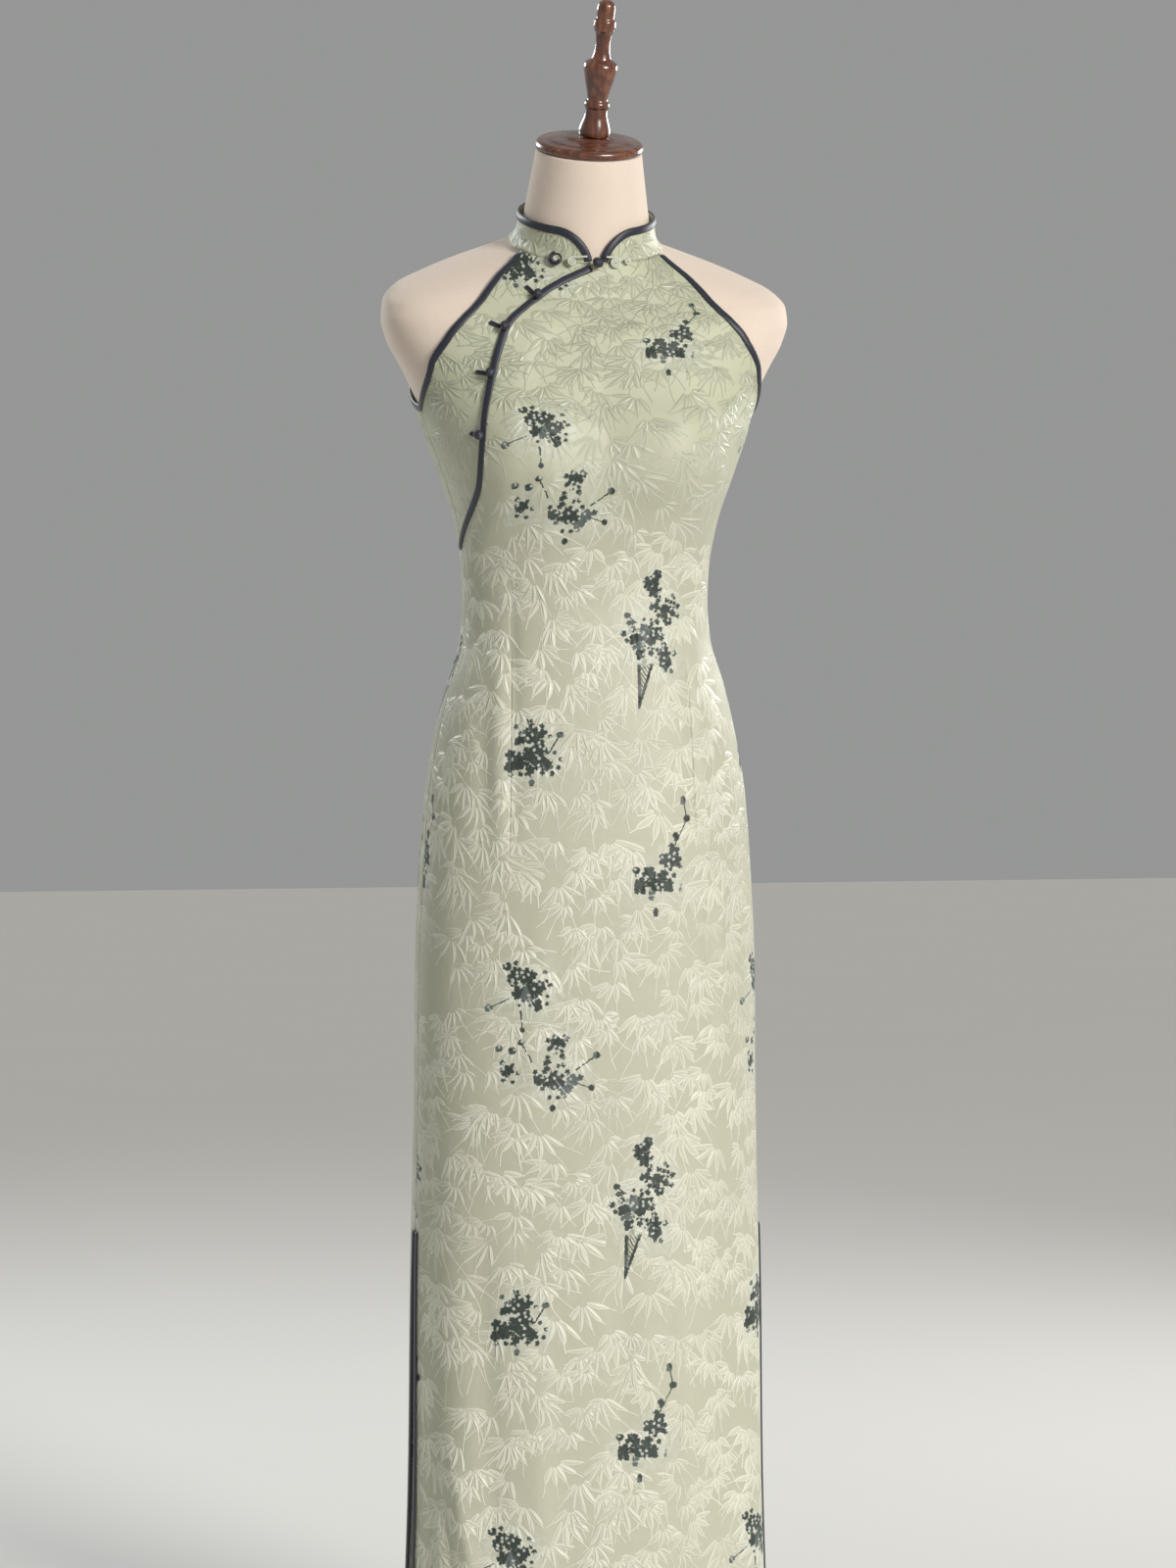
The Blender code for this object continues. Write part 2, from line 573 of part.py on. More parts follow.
def make_collar():
    angle = collar_columns()
    share = np.linspace(0, 1, 4)[:, None]
    bottom = NECK_SEAM + COLLAR_GAP
    height = bottom + (collar_top(angle) - bottom) * share
    collar = cloth_piece("collar", collar_point(np.broadcast_to(angle, height.shape), height))
    bind_edge("collar_binding", angle, collar_top(angle), collar_point, -1)
    return collar


def make_knot(name, place, radius):
    """A ball knot, a little flattened where it meets the cloth."""
    bpy.ops.mesh.primitive_uv_sphere_add(segments=12, ring_count=8, radius=radius)
    knot = bpy.context.object
    knot.name = knot.data.name = name
    knot.data.transform(Matrix.Diagonal((1, 1, 0.9, 1)))
    knot.data.materials.append(material(DARK_SATIN))
    knot.data.shade_smooth()
    for old in knot.users_collection:
        old.objects.unlink(knot)
    dress_stand.objects.link(knot)
    knot.matrix_world = place
    return knot


def settle(target, angle, height):
    """Angle and height of the point of the cloth nearest the target, from a near guess."""
    nudge = 1e-4
    for _ in range(4):
        here = plain_point(angle, height)
        round_it = (plain_point(angle + nudge, height) - here)[0] / nudge
        up_it = (plain_point(angle, height + nudge) - here)[0] / nudge
        step = np.linalg.lstsq(np.stack([round_it, up_it], axis=1), (target - here)[0], rcond=None)[0]
        angle, height = angle + step[0], height + step[1]
    return angle, height


def make_placket_fastening(number, height):
    """A ball knot on the binding and the short flat leg of its loop on the under-front."""
    at = np.array([height, height + 0.004])
    angle = placket_angle(at)
    edge = front_point(angle, at)
    normal = ring_normal(CLOTH_RINGS, angle, at)[0]
    up_edge = edge[1] - edge[0]
    across = np.cross(up_edge, normal)
    across /= np.linalg.norm(across)
    over_binding = CLOTH + BINDING_LIFT + BINDING_CLOTH + PART_GAP
    centre = edge[0] + across * BINDING_WIDTH * 0.3 + normal * (over_binding + KNOT_RADIUS * 0.9)
    make_knot(f"placket_knot_{number}", surface_matrix(centre, normal, across), KNOT_RADIUS)
    reach = BINDING_GAP + BINDING_CLOTH + 2.5 * PART_GAP + LEG_LENGTH / 2
    leg_angle, leg_height = settle(edge[0] - across * reach, angle[:1], at[:1])
    rest = plain_point(leg_angle, leg_height, CLOTH + PART_GAP)[0]
    leg_normal = ring_normal(CLOTH_RINGS, leg_angle, leg_height)[0]
    bpy.ops.mesh.primitive_cube_add(size=1)
    leg = bpy.context.object
    leg.name = leg.data.name = f"placket_leg_{number}"
    leg.data.transform(Matrix.Diagonal((LEG_LENGTH, LEG_WIDTH, LEG_THICKNESS, 1)))
    leg.data.materials.append(material(DARK_SATIN))
    rounding = leg.modifiers.new("rounding", "BEVEL")
    rounding.width = 0.0007
    rounding.segments = 1
    for old in leg.users_collection:
        old.objects.unlink(leg)
    dress_stand.objects.link(leg)
    standing = LEG_THICKNESS / 2 + 0.0004  # clears the curve of the cloth under the leg's ends
    leg.matrix_world = surface_matrix(rest + leg_normal * standing, leg_normal, across)
    return leg


def collar_knot_place(from_centre, out):
    """A placement at the collar's seam line, out from the cloth, facing along its normal."""
    height = np.array([NECK_SEAM - 0.0005])
    angle = math.copysign(1, from_centre) * angle_at([abs(from_centre)], height)
    spot = on_cloth(angle, height, np.array([out]))[0]
    normal = ring_normal(CLOTH_RINGS, angle, height)[0]
    return surface_matrix(spot, normal, (1, 0, 0))


def make_collar_fastening():
    """The ball knot where the collar's ends meet, and the flat coils of cord on either side."""
    out = EASE + OVERLAP_LIFT + CLOTH + BINDING_LIFT + BINDING_CLOTH + PART_GAP
    make_knot("collar_knot", collar_knot_place(0.0, out + COLLAR_KNOT_RADIUS * 0.9), COLLAR_KNOT_RADIUS)
    for coil in COILS:
        bpy.ops.mesh.primitive_cylinder_add(vertices=16, radius=coil.radius, depth=COIL_THICKNESS)
        disc = bpy.context.object
        disc.name = disc.data.name = coil.name
        disc.data.materials.append(material(DARK_SATIN if coil.dark else PALE_CORD))
        rounding = disc.modifiers.new("rounding", "BEVEL")
        rounding.width = 0.0007
        rounding.segments = 1
        for old in disc.users_collection:
            old.objects.unlink(disc)
        dress_stand.objects.link(disc)
        disc.matrix_world = collar_knot_place(coil.from_centre, out + COIL_THICKNESS / 2 + 0.0006)


def make_form():
    """The smooth closed torso, from its flat foot to the top of the neck."""
    segments = 48
    rows = [FORM_BOTTOM, FORM_BOTTOM + 0.004, FORM_BOTTOM + 0.016]
    rows += [row for row in TORSO_ROWS if row > FORM_BOTTOM + 0.03]
    rows += [row for row in CHEST_ROWS if row != ARMHOLE_BOTTOM + 0.003]
    rows += [NECK_SEAM + step for step in (0.008, 0.020, 0.040, 0.066)] + [NECK_TOP]
    turn = np.arange(segments) * 2 * math.pi / segments
    angle, height = np.meshgrid(turn, np.array(rows))
    points = ring_point(FORM_RINGS, angle, height)
    count = len(rows)
    index = np.arange(count * segments).reshape(count, segments)
    beside = np.roll(index, -1, axis=1)
    sides = np.stack([index[:-1], beside[:-1], beside[1:], index[1:]], axis=-1).reshape(-1, 4)
    mesh = bpy.data.meshes.new("form_torso")
    mesh.from_pydata(
        points.reshape(-1, 3).tolist(), [],
        [*sides.tolist(), index[0][::-1].tolist(), index[-1].tolist()],
    )
    return add_object("form_torso", mesh, LINEN)


def make_neck_wood():
    """The turned cap on the neck and the finial that stands on it, square to the tilted neck."""
    ring = ring_point(FORM_RINGS, np.radians([-90, 0, 90, 180]), NECK_TOP)
    right, front, left, back = (Vector(point) for point in ring)
    normal = (left - right).cross(back - front).normalized()
    centre = (left + right) / 2
    cap = turned("neck_cap", CAP_PROFILE, WALNUT, 36)
    cap.matrix_world = surface_matrix(centre + normal * PART_GAP, normal, (1, 0, 0))
    finial = turned("neck_finial", FINIAL_PROFILE, WALNUT, 16)
    lift = PART_GAP * 2 + CAP_PROFILE[0].height + FINIAL_PROFILE[-2].radius * math.sin(FINIAL_LEAN)
    on_cap = centre + normal * lift + Vector((FINIAL_OFFSET, 0, 0))
    upright = Matrix.Rotation(FINIAL_LEAN, 3, "Y") @ normal
    finial.matrix_world = surface_matrix(on_cap, upright, (1, 0, 0))


def make_stand():
    """A round weighted base and the pole that carries the torso."""
    turned("stand_base", BASE_PROFILE, STEEL, 40)
    bottom = BASE_PROFILE[0].height + PART_GAP
    top = FORM_BOTTOM - PART_GAP
    bpy.ops.mesh.primitive_cylinder_add(vertices=24, radius=POLE_RADIUS, depth=top - bottom,
                                        location=(0, 0, (top + bottom) / 2))
    pole = bpy.context.object
    pole.name = pole.data.name = "stand_pole"
    pole.data.materials.append(material(STEEL))
    for old in pole.users_collection:
        old.objects.unlink(pole)
    dress_stand.objects.link(pole)


clear_scene()
dress_stand = bpy.data.collections.new("cheongsam_on_form")
bpy.context.scene.collection.children.link(dress_stand)
make_front()
make_under_front()
make_back()
make_collar()
make_armhole_binding("armhole_binding_left", 1)
make_armhole_binding("armhole_binding_right", -1)
make_hem_binding("front_hem_binding", front_angle, 0.0, FRONT_COLUMNS, front_point)
make_hem_binding("back_hem_binding", back_angle, math.pi, BACK_COLUMNS, plain_point)
for order, knot_height in enumerate(KNOT_HEIGHTS, start=1):
    make_placket_fastening(order, knot_height)
make_collar_fastening()
make_form()
make_neck_wood()
make_stand()
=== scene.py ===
"""A long sleeveless cheongsam in celadon silk, shown on a linen dress form with a turned wooden cap.

Metres, +Z up, the wearer faces -Y and the wearer's left is +X. Every ring of the figure is met at an angle
from the centre front (0), through the wearer's left side (+90 degrees), to the centre back (180), and at a
height. Cloth lies a set distance out from those rings.
"""

import logging
import math
from collections.abc import Callable, Sequence
from dataclasses import astuple, dataclass, field
from enum import Enum

import bmesh
import bpy
import numpy as np
from mathutils import Matrix, Vector


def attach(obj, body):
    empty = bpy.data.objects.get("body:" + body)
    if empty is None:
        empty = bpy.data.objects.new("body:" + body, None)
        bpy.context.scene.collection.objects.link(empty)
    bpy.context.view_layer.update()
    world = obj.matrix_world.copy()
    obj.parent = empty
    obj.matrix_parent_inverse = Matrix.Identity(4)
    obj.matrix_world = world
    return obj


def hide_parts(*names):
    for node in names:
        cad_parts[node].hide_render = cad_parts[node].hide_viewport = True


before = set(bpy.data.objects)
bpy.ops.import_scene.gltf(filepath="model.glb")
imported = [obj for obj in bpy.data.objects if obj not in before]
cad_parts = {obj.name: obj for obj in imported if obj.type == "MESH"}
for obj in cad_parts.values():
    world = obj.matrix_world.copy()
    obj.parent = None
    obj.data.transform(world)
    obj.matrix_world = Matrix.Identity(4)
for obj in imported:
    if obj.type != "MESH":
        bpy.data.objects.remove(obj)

log = logging.getLogger("cheongsam")

Array = np.ndarray
Colour = tuple[float, float, float]
PointRule = Callable[[Array, Array], Array]
EdgeRule = Callable[[Array], Array]

WAIST = 1.100  # height of the natural waist over the floor
NECK_SEAM = WAIST + 0.349
NECK_TOP = WAIST + 0.445
FORM_BOTTOM = WAIST - 0.380
HEM = WAIST - 0.980
SLIT_TOP = WAIST - 0.590
ARMHOLE_BOTTOM = WAIST + 0.194
ARMHOLE_TURN = WAIST + 0.229
PLACKET_END = WAIST + 0.060
SLIT_PARTED = SLIT_TOP - 0.010  # a slit's edges have come apart here
SHOULDER = WAIST + 0.285  # rows of cloth lie closer together from here up
BINDING_STOP = NECK_SEAM - 0.003  # bindings end just short of the collar


class Side(Enum):
    """Which way a panel or a fold faces."""

    FRONT = 1
    BACK = -1


class Blend(Enum):
    """How two colours are laid together."""

    MIX = "MIX"
    MULTIPLY = "MULTIPLY"


# ------------------------------------------------------------
# Shader expressions


class Value:
    """A shader socket that Python's arithmetic works on: each operation adds one Math node."""

    def __init__(self, graph: "Graph", socket: bpy.types.NodeSocket) -> None:
        """Wraps a socket of that graph."""
        self.graph = graph
        self.socket = socket

    def math(self, operation: str, *others: "Value | float", first: "Value | float | None" = None) -> "Value":
        """Adds a Math node.

        Args:
            operation: the node's operation.
            others: the values of its further sockets.
            first: what goes into its first socket in place of this value, which then goes second.

        Returns:
            The node's result.
        """
        values = [self, *others] if first is None else [first, self, *others]
        return self.graph.node("ShaderNodeMath", {"operation": operation}, dict(enumerate(values)))

    def __add__(self, other: "Value | float") -> "Value":
        """Sum."""
        return self.math("ADD", other)

    __radd__ = __add__

    def __sub__(self, other: "Value | float") -> "Value":
        """Difference."""
        return self.math("SUBTRACT", other)

    def __rsub__(self, other: float) -> "Value":
        """Difference from a number on the left."""
        return self.math("SUBTRACT", first=other)

    def __mul__(self, other: "Value | float") -> "Value":
        """Product."""
        return self.math("MULTIPLY", other)

    __rmul__ = __mul__

    def __truediv__(self, other: "Value | float") -> "Value":
        """Quotient."""
        return self.math("DIVIDE", other)

    def __pow__(self, other: float) -> "Value":
        """Power."""
        return self.math("POWER", other)

    def __abs__(self) -> "Value":
        """Size without its sign."""
        return self.math("ABSOLUTE")

    def least(self, other: "Value | float") -> "Value":
        """The smaller of the two."""
        return self.math("MINIMUM", other)

    def most(self, other: "Value | float") -> "Value":
        """The larger of the two."""
        return self.math("MAXIMUM", other)

    def clamped(self) -> "Value":
        """Kept between 0 and 1."""
        return self.graph.node("ShaderNodeClamp", {}, {0: self})

    def below(self, limit: "Value | float", soft: float) -> "Value":
        """A mask that is 1 where this is under the limit, with an edge that is soft wide."""
        return ((limit - self) * (1 / soft) + 0.5).clamped()

    def above(self, limit: "Value | float", soft: float) -> "Value":
        """A mask that is 1 where this is over the limit, with an edge that is soft wide."""
        return ((self - limit) * (1 / soft) + 0.5).clamped()


class Graph:
    """One material's nodes, made through a single method."""

    def __init__(self, name: str) -> None:
        """Starts an empty material of that name with one Principled shader."""
        self.material = bpy.data.materials.new(name)
        self.material.use_nodes = True
        self.tree = self.material.node_tree
        self.shader = self.tree.nodes["Principled BSDF"]

    def node(
        self,
        kind: str,
        settings: dict[str, object] | None = None,
        sockets: dict[int | str, object] | None = None,
        out: int | str = 0,
    ) -> Value:
        """Adds a node.

        Args:
            kind: the node's type.
            settings: its properties, which are set first.
            sockets: the values or links of its input sockets, by number or name.
            out: the output that is wanted.

        Returns:
            That output as a Value.
        """
        made = self.tree.nodes.new(kind)
        for name, setting in (settings or {}).items():
            setattr(made, name, setting)
        for name, value in (sockets or {}).items():
            if isinstance(value, Value):
                self.tree.links.new(value.socket, made.inputs[name])
            else:
                made.inputs[name].default_value = value
        return Value(self, made.outputs[out])

    def other(self, value: Value, out: int | str) -> Value:
        """Another output of the node that value comes from."""
        return Value(self, value.socket.node.outputs[out])

    def split(self, vector: Value) -> tuple[Value, Value, Value]:
        """The three parts of a vector."""
        x = self.node("ShaderNodeSeparateXYZ", {}, {0: vector})
        return x, self.other(x, 1), self.other(x, 2)

    def join(self, x: Value | float, y: Value | float, z: Value | float = 0.0) -> Value:
        """A vector of three parts."""
        return self.node("ShaderNodeCombineXYZ", {}, {0: x, 1: y, 2: z})

    def vector(self, operation: str, *values: object, out: int | str = 0) -> Value:
        """A Vector Math node's result."""
        return self.node("ShaderNodeVectorMath", {"operation": operation}, dict(enumerate(values)), out)

    def noise(self, at: Value, scale: float, detail: float = 2.0, out: int | str = 0) -> Value:
        """Smooth noise of so many waves a metre, as a number (out 0) or a colour (out 1)."""
        return self.node("ShaderNodeTexNoise", {"noise_dimensions": "3D"},
                         {"Vector": at, "Scale": scale, "Detail": detail}, out)

    def cells(self, at: Value, size: float, randomness: float) -> Value:
        """Flat cells of that size; the outputs are Distance, Color and Position."""
        return self.node("ShaderNodeTexVoronoi", {"voronoi_dimensions": "2D", "feature": "F1"},
                         {"Vector": at, "Scale": 1 / size, "Randomness": randomness}, "Distance")

    def mix(self, share: Value | float, first: object, second: object, blend: Blend = Blend.MIX) -> Value:
        """A colour between the two, or the first multiplied by the second, by that share."""
        full = [(*c, 1.0) if isinstance(c, tuple) else c for c in (first, second)]
        return self.node("ShaderNodeMix", {"data_type": "RGBA", "blend_type": blend.value},
                         {0: share, 6: full[0], 7: full[1]}, 2)

    def colour_by(self, value: Value, stops: Sequence[tuple[float, Colour]]) -> Value:
        """The colour of a ramp with those stops."""
        ramp_colour = self.node("ShaderNodeValToRGB", {}, {0: value})
        ramp_node = ramp_colour.socket.node.color_ramp
        for place, colour in stops[1:-1]:
            ramp_node.elements.new(place).color = (*colour, 1.0)
        for end, (place, colour) in ((0, stops[0]), (-1, stops[-1])):
            ramp_node.elements[end].position = place
            ramp_node.elements[end].color = (*colour, 1.0)
        return ramp_colour

    def relief(self, height: Value, depth: float, strength: float) -> Value:
        """A Bump node of that depth in metres."""
        return self.node("ShaderNodeBump", {}, {"Height": height, "Distance": depth, "Strength": strength})

    def cloth_uv(self) -> Value:
        """The piece's UV map, in metres of cloth."""
        return self.node("ShaderNodeUVMap", {"uv_map": "cloth"})

    def object_place(self) -> Value:
        """The place on the piece in the frame's own metres."""
        return self.node("ShaderNodeTexCoord", {}, {}, "Object")

    def threads(self, uv: Value, across: float, up: float, detail: float = 2.0) -> Value:
        """Noise stretched into threads, of so many waves a metre each way."""
        return self.noise(self.vector("MULTIPLY", uv, (across, up, 1.0)), 1, detail)

    def length(self, vector: Value) -> Value:
        """A vector's length."""
        return self.vector("LENGTH", vector, out="Value")

    def wavered(self, at: Value, scale: float, detail: float, reach: Colour) -> Value:
        """The place, moved each way by smooth noise of up to half the reach."""
        noise = self.vector("SUBTRACT", self.noise(at, scale, detail, 1), (0.5, 0.5, 0.5))
        return self.vector("MULTIPLY_ADD", noise, reach, at)

    def set(self, **sockets: object) -> None:
        """Sets or links the shader's sockets, named with _ for a space."""
        for name, value in sockets.items():
            target = self.shader.inputs[name.replace("_", " ")]
            if isinstance(value, Value):
                self.tree.links.new(value.socket, target)
            else:
                target.default_value = (*value, 1.0) if isinstance(value, tuple) else value


# ------------------------------------------------------------
# Finishes


@dataclass(frozen=True)
class Spot:
    """An oval of the printed design: its centre and half sizes in the repeat."""

    across: float
    up: float
    half_width: float
    half_height: float


@dataclass(frozen=True)
class Stroke:
    """A brush line of the printed design, from one point of the repeat to another."""

    start: tuple[float, float]
    end: tuple[float, float]
    half_width: float = 0.0007


@dataclass(frozen=True)
class InkBlossoms:
    """The printed design: clusters of blossoms, loose buds and stems, repeated over the cloth."""

    width: float = 0.262
    height: float = 0.540
    left: float = -0.125
    bottom: float = 0.245
    lean: float = 0.026  # each column drifts sideways by this for a metre of height
    clusters: tuple[Spot, ...] = (
        Spot(-0.063, 0.739, 0.019, 0.019),
        Spot(-0.077, 0.754, 0.010, 0.010),
        Spot(-0.082, 0.662, 0.009, 0.011),
        Spot(-0.037, 0.687, 0.011, 0.011),
        Spot(-0.037, 0.654, 0.022, 0.015),
        Spot(0.052, 0.586, 0.009, 0.009),
        Spot(0.065, 0.558, 0.015, 0.013),
        Spot(0.043, 0.534, 0.017, 0.020),
        Spot(0.062, 0.511, 0.013, 0.014),
        Spot(-0.064, 0.438, 0.016, 0.013),
        Spot(-0.059, 0.415, 0.020, 0.013),
        Spot(-0.081, 0.412, 0.009, 0.011),
        Spot(0.069, 0.319, 0.009, 0.011),
        Spot(0.056, 0.299, 0.020, 0.013),
    )
    buds: tuple[Spot, ...] = (
        Spot(-0.101, 0.722, 0.0040, 0.0036),
        Spot(-0.083, 0.762, 0.0034, 0.0038),
        Spot(0.002, 0.678, 0.0036, 0.0036),
        Spot(-0.002, 0.647, 0.0030, 0.0032),
        Spot(-0.068, 0.702, 0.0026, 0.0024),
        Spot(-0.038, 0.628, 0.0028, 0.0034),
        Spot(0.025, 0.552, 0.0032, 0.0030),
        Spot(0.021, 0.535, 0.0030, 0.0034),
        Spot(-0.039, 0.440, 0.0036, 0.0030),
        Spot(-0.065, 0.395, 0.0026, 0.0034),
        Spot(0.081, 0.377, 0.0030, 0.0042),
        Spot(0.085, 0.360, 0.0036, 0.0034),
        Spot(0.074, 0.343, 0.0038, 0.0044),
        Spot(-0.090, 0.684, 0.0036, 0.0032),
        Spot(-0.077, 0.682, 0.0038, 0.0036),
        Spot(-0.069, 0.690, 0.0032, 0.0030),
        Spot(0.035, 0.312, 0.0038, 0.0034),
        Spot(0.055, 0.272, 0.0026, 0.0046),
        Spot(0.069, 0.334, 0.0034, 0.0036),
    )
    stems: tuple[Stroke, ...] = (
        Stroke((-0.101, 0.722), (-0.082, 0.731)),
        Stroke((-0.070, 0.720), (-0.068, 0.701)),
        Stroke((-0.069, 0.690), (-0.058, 0.672)),
        Stroke((0.002, 0.678), (-0.017, 0.664)),
        Stroke((-0.002, 0.647), (-0.018, 0.652)),
        Stroke((0.025, 0.552), (0.034, 0.545)),
        Stroke((-0.039, 0.440), (-0.049, 0.423)),
        Stroke((-0.070, 0.457), (-0.066, 0.441)),
        Stroke((0.081, 0.379), (0.085, 0.360)),
        Stroke((0.085, 0.360), (0.073, 0.335)),
        Stroke((0.035, 0.312), (0.034, 0.293)),
        Stroke((0.034, 0.293), (0.044, 0.290)),
    )
    cone_tip: tuple[float, float] = (0.0355, 0.4620)
    cone_length: float = 0.044
    cone_slope: float = 0.17  # half width gained for each metre up from the tip
    cone_lean: float = 0.16
    cone_rim: float = 0.0032
    cone_threads: float = 0.0042  # from one thread to the next
    brush_waves: float = 330  # waves a metre of the wavering edge
    brush_waver: float = 0.0026
    petal_turns: float = 2.5  # half the number of petals
    petal_round: float = 0.7
    petal_notch: float = 0.42  # share of a blossom's radius that its notches take
    petal_soft: float = 0.0009
    thinning: float = 0.35  # how much nearer than the reach a cell may have to be

    def repeat(self, graph: Graph, u: Value, v: Value) -> Value:
        """The place in the repeat of a place on the cloth, with a wavering brush edge."""
        column = u - (v - WAIST) * self.lean
        across = column.math("WRAP", self.left + self.width, self.left)
        up = v.math("WRAP", self.bottom + self.height, self.bottom)
        reach = (self.brush_waver, self.brush_waver, 0.0)
        return graph.wavered(graph.join(across, up), self.brush_waves, 2, reach)

    def oval(self, graph: Graph, place: Value, spot: Spot) -> Value:
        """Distance from the spot's centre, 1 on its edge."""
        by = (1 / spot.half_width, 1 / spot.half_height, 0.0)
        back = (-spot.across / spot.half_width, -spot.up / spot.half_height, 0.0)
        return graph.length(graph.vector("MULTIPLY_ADD", place, by, back))

    def nearest(self, graph: Graph, place: Value, spots: Sequence[Spot]) -> Value:
        """The least of the distances to the spots, 1 on an edge."""
        found = self.oval(graph, place, spots[0])
        for spot in spots[1:]:
            found = found.least(self.oval(graph, place, spot))
        return found

    def stem(self, graph: Graph, place: Value, stroke: Stroke) -> Value:
        """Distance to the stroke's line, 1 on its edge: to the nearest point between its two ends."""
        run = np.subtract(stroke.end, stroke.start)
        start = (stroke.start[0], stroke.start[1], 0.0)
        away = graph.vector("SUBTRACT", place, start)
        along = graph.vector("DOT_PRODUCT", away, (*(run / (run @ run)).tolist(), 0.0), out="Value").clamped()
        nearest = graph.node("ShaderNodeVectorMath", {"operation": "SCALE"},
                             {0: (*run.tolist(), 0.0), "Scale": along})
        return graph.length(graph.vector("SUBTRACT", away, nearest)) * (1 / stroke.half_width)

    def blossoms(self, graph: Graph, place: Value, size: float, petal: tuple[float, float],
                 reach: float) -> tuple[Value, Value, Value]:
        """Five-petalled blossoms, one to a cell, in the cells whose middle is near a cluster.

        A blossom's edge is its radius times 1 - petal_notch in the notches, rising to its radius with the
        size of the cosine of petal_turns times the angle, to the power of petal_round.

        Args:
            graph: the material's nodes.
            place: the place in the repeat.
            size: width of a cell.
            petal: least and greatest radius of a blossom.
            reach: how far out from a cluster cells are filled, where 1 is the cluster's edge.

        Returns:
            The mask, a random number for each cell, and its distance to the clusters.
        """
        cell = graph.cells(place, size, 0.9)
        middle = graph.other(cell, "Position")
        chance = graph.split(graph.other(cell, "Color"))
        local = graph.vector("SUBTRACT", place, middle)
        x, y, _ = graph.split(local)
        turn = y.math("ARCTAN2", x) * self.petal_turns + chance[0] * 6.28
        petals = abs(turn.math("COSINE")) ** self.petal_round
        radius = chance[1] * (petal[1] - petal[0]) + petal[0]
        radius = radius * (petals * self.petal_notch + (1 - self.petal_notch))
        away = graph.length(local)
        near = self.nearest(graph, middle, self.clusters)
        shown = near.below(reach - chance[2] * self.thinning, 0.02)
        return away.below(radius, self.petal_soft) * shown, chance[2], near

    def cone(self, graph: Graph, place: Value) -> Value:
        """The pointed cone below one cluster: two lines that meet at its tip and slanting threads between."""
        x, y, _ = graph.split(place)
        rise = y - self.cone_tip[1]
        half = rise * self.cone_slope + 0.0006
        side = x - rise * self.cone_lean - self.cone_tip[0]
        off = abs(side)
        inside = off.below(half, 0.0005) * rise.below(self.cone_length, 0.003) * rise.above(-0.001, 0.001)
        rim = off.above(half - self.cone_rim, 0.0010)
        slant = (rise + side * 1.2).math("PINGPONG", self.cone_threads)
        threads = abs(slant - self.cone_threads / 2).below(0.0011, 0.0009)
        return inside * rim.most(threads * 0.8)


@dataclass(frozen=True)
class Spray:
    """One layer of leaf fans: the width of its cells, its turn, its shift and the share of cells it fills."""

    size: float
    turn: float
    shift: tuple[float, float]
    filled: float


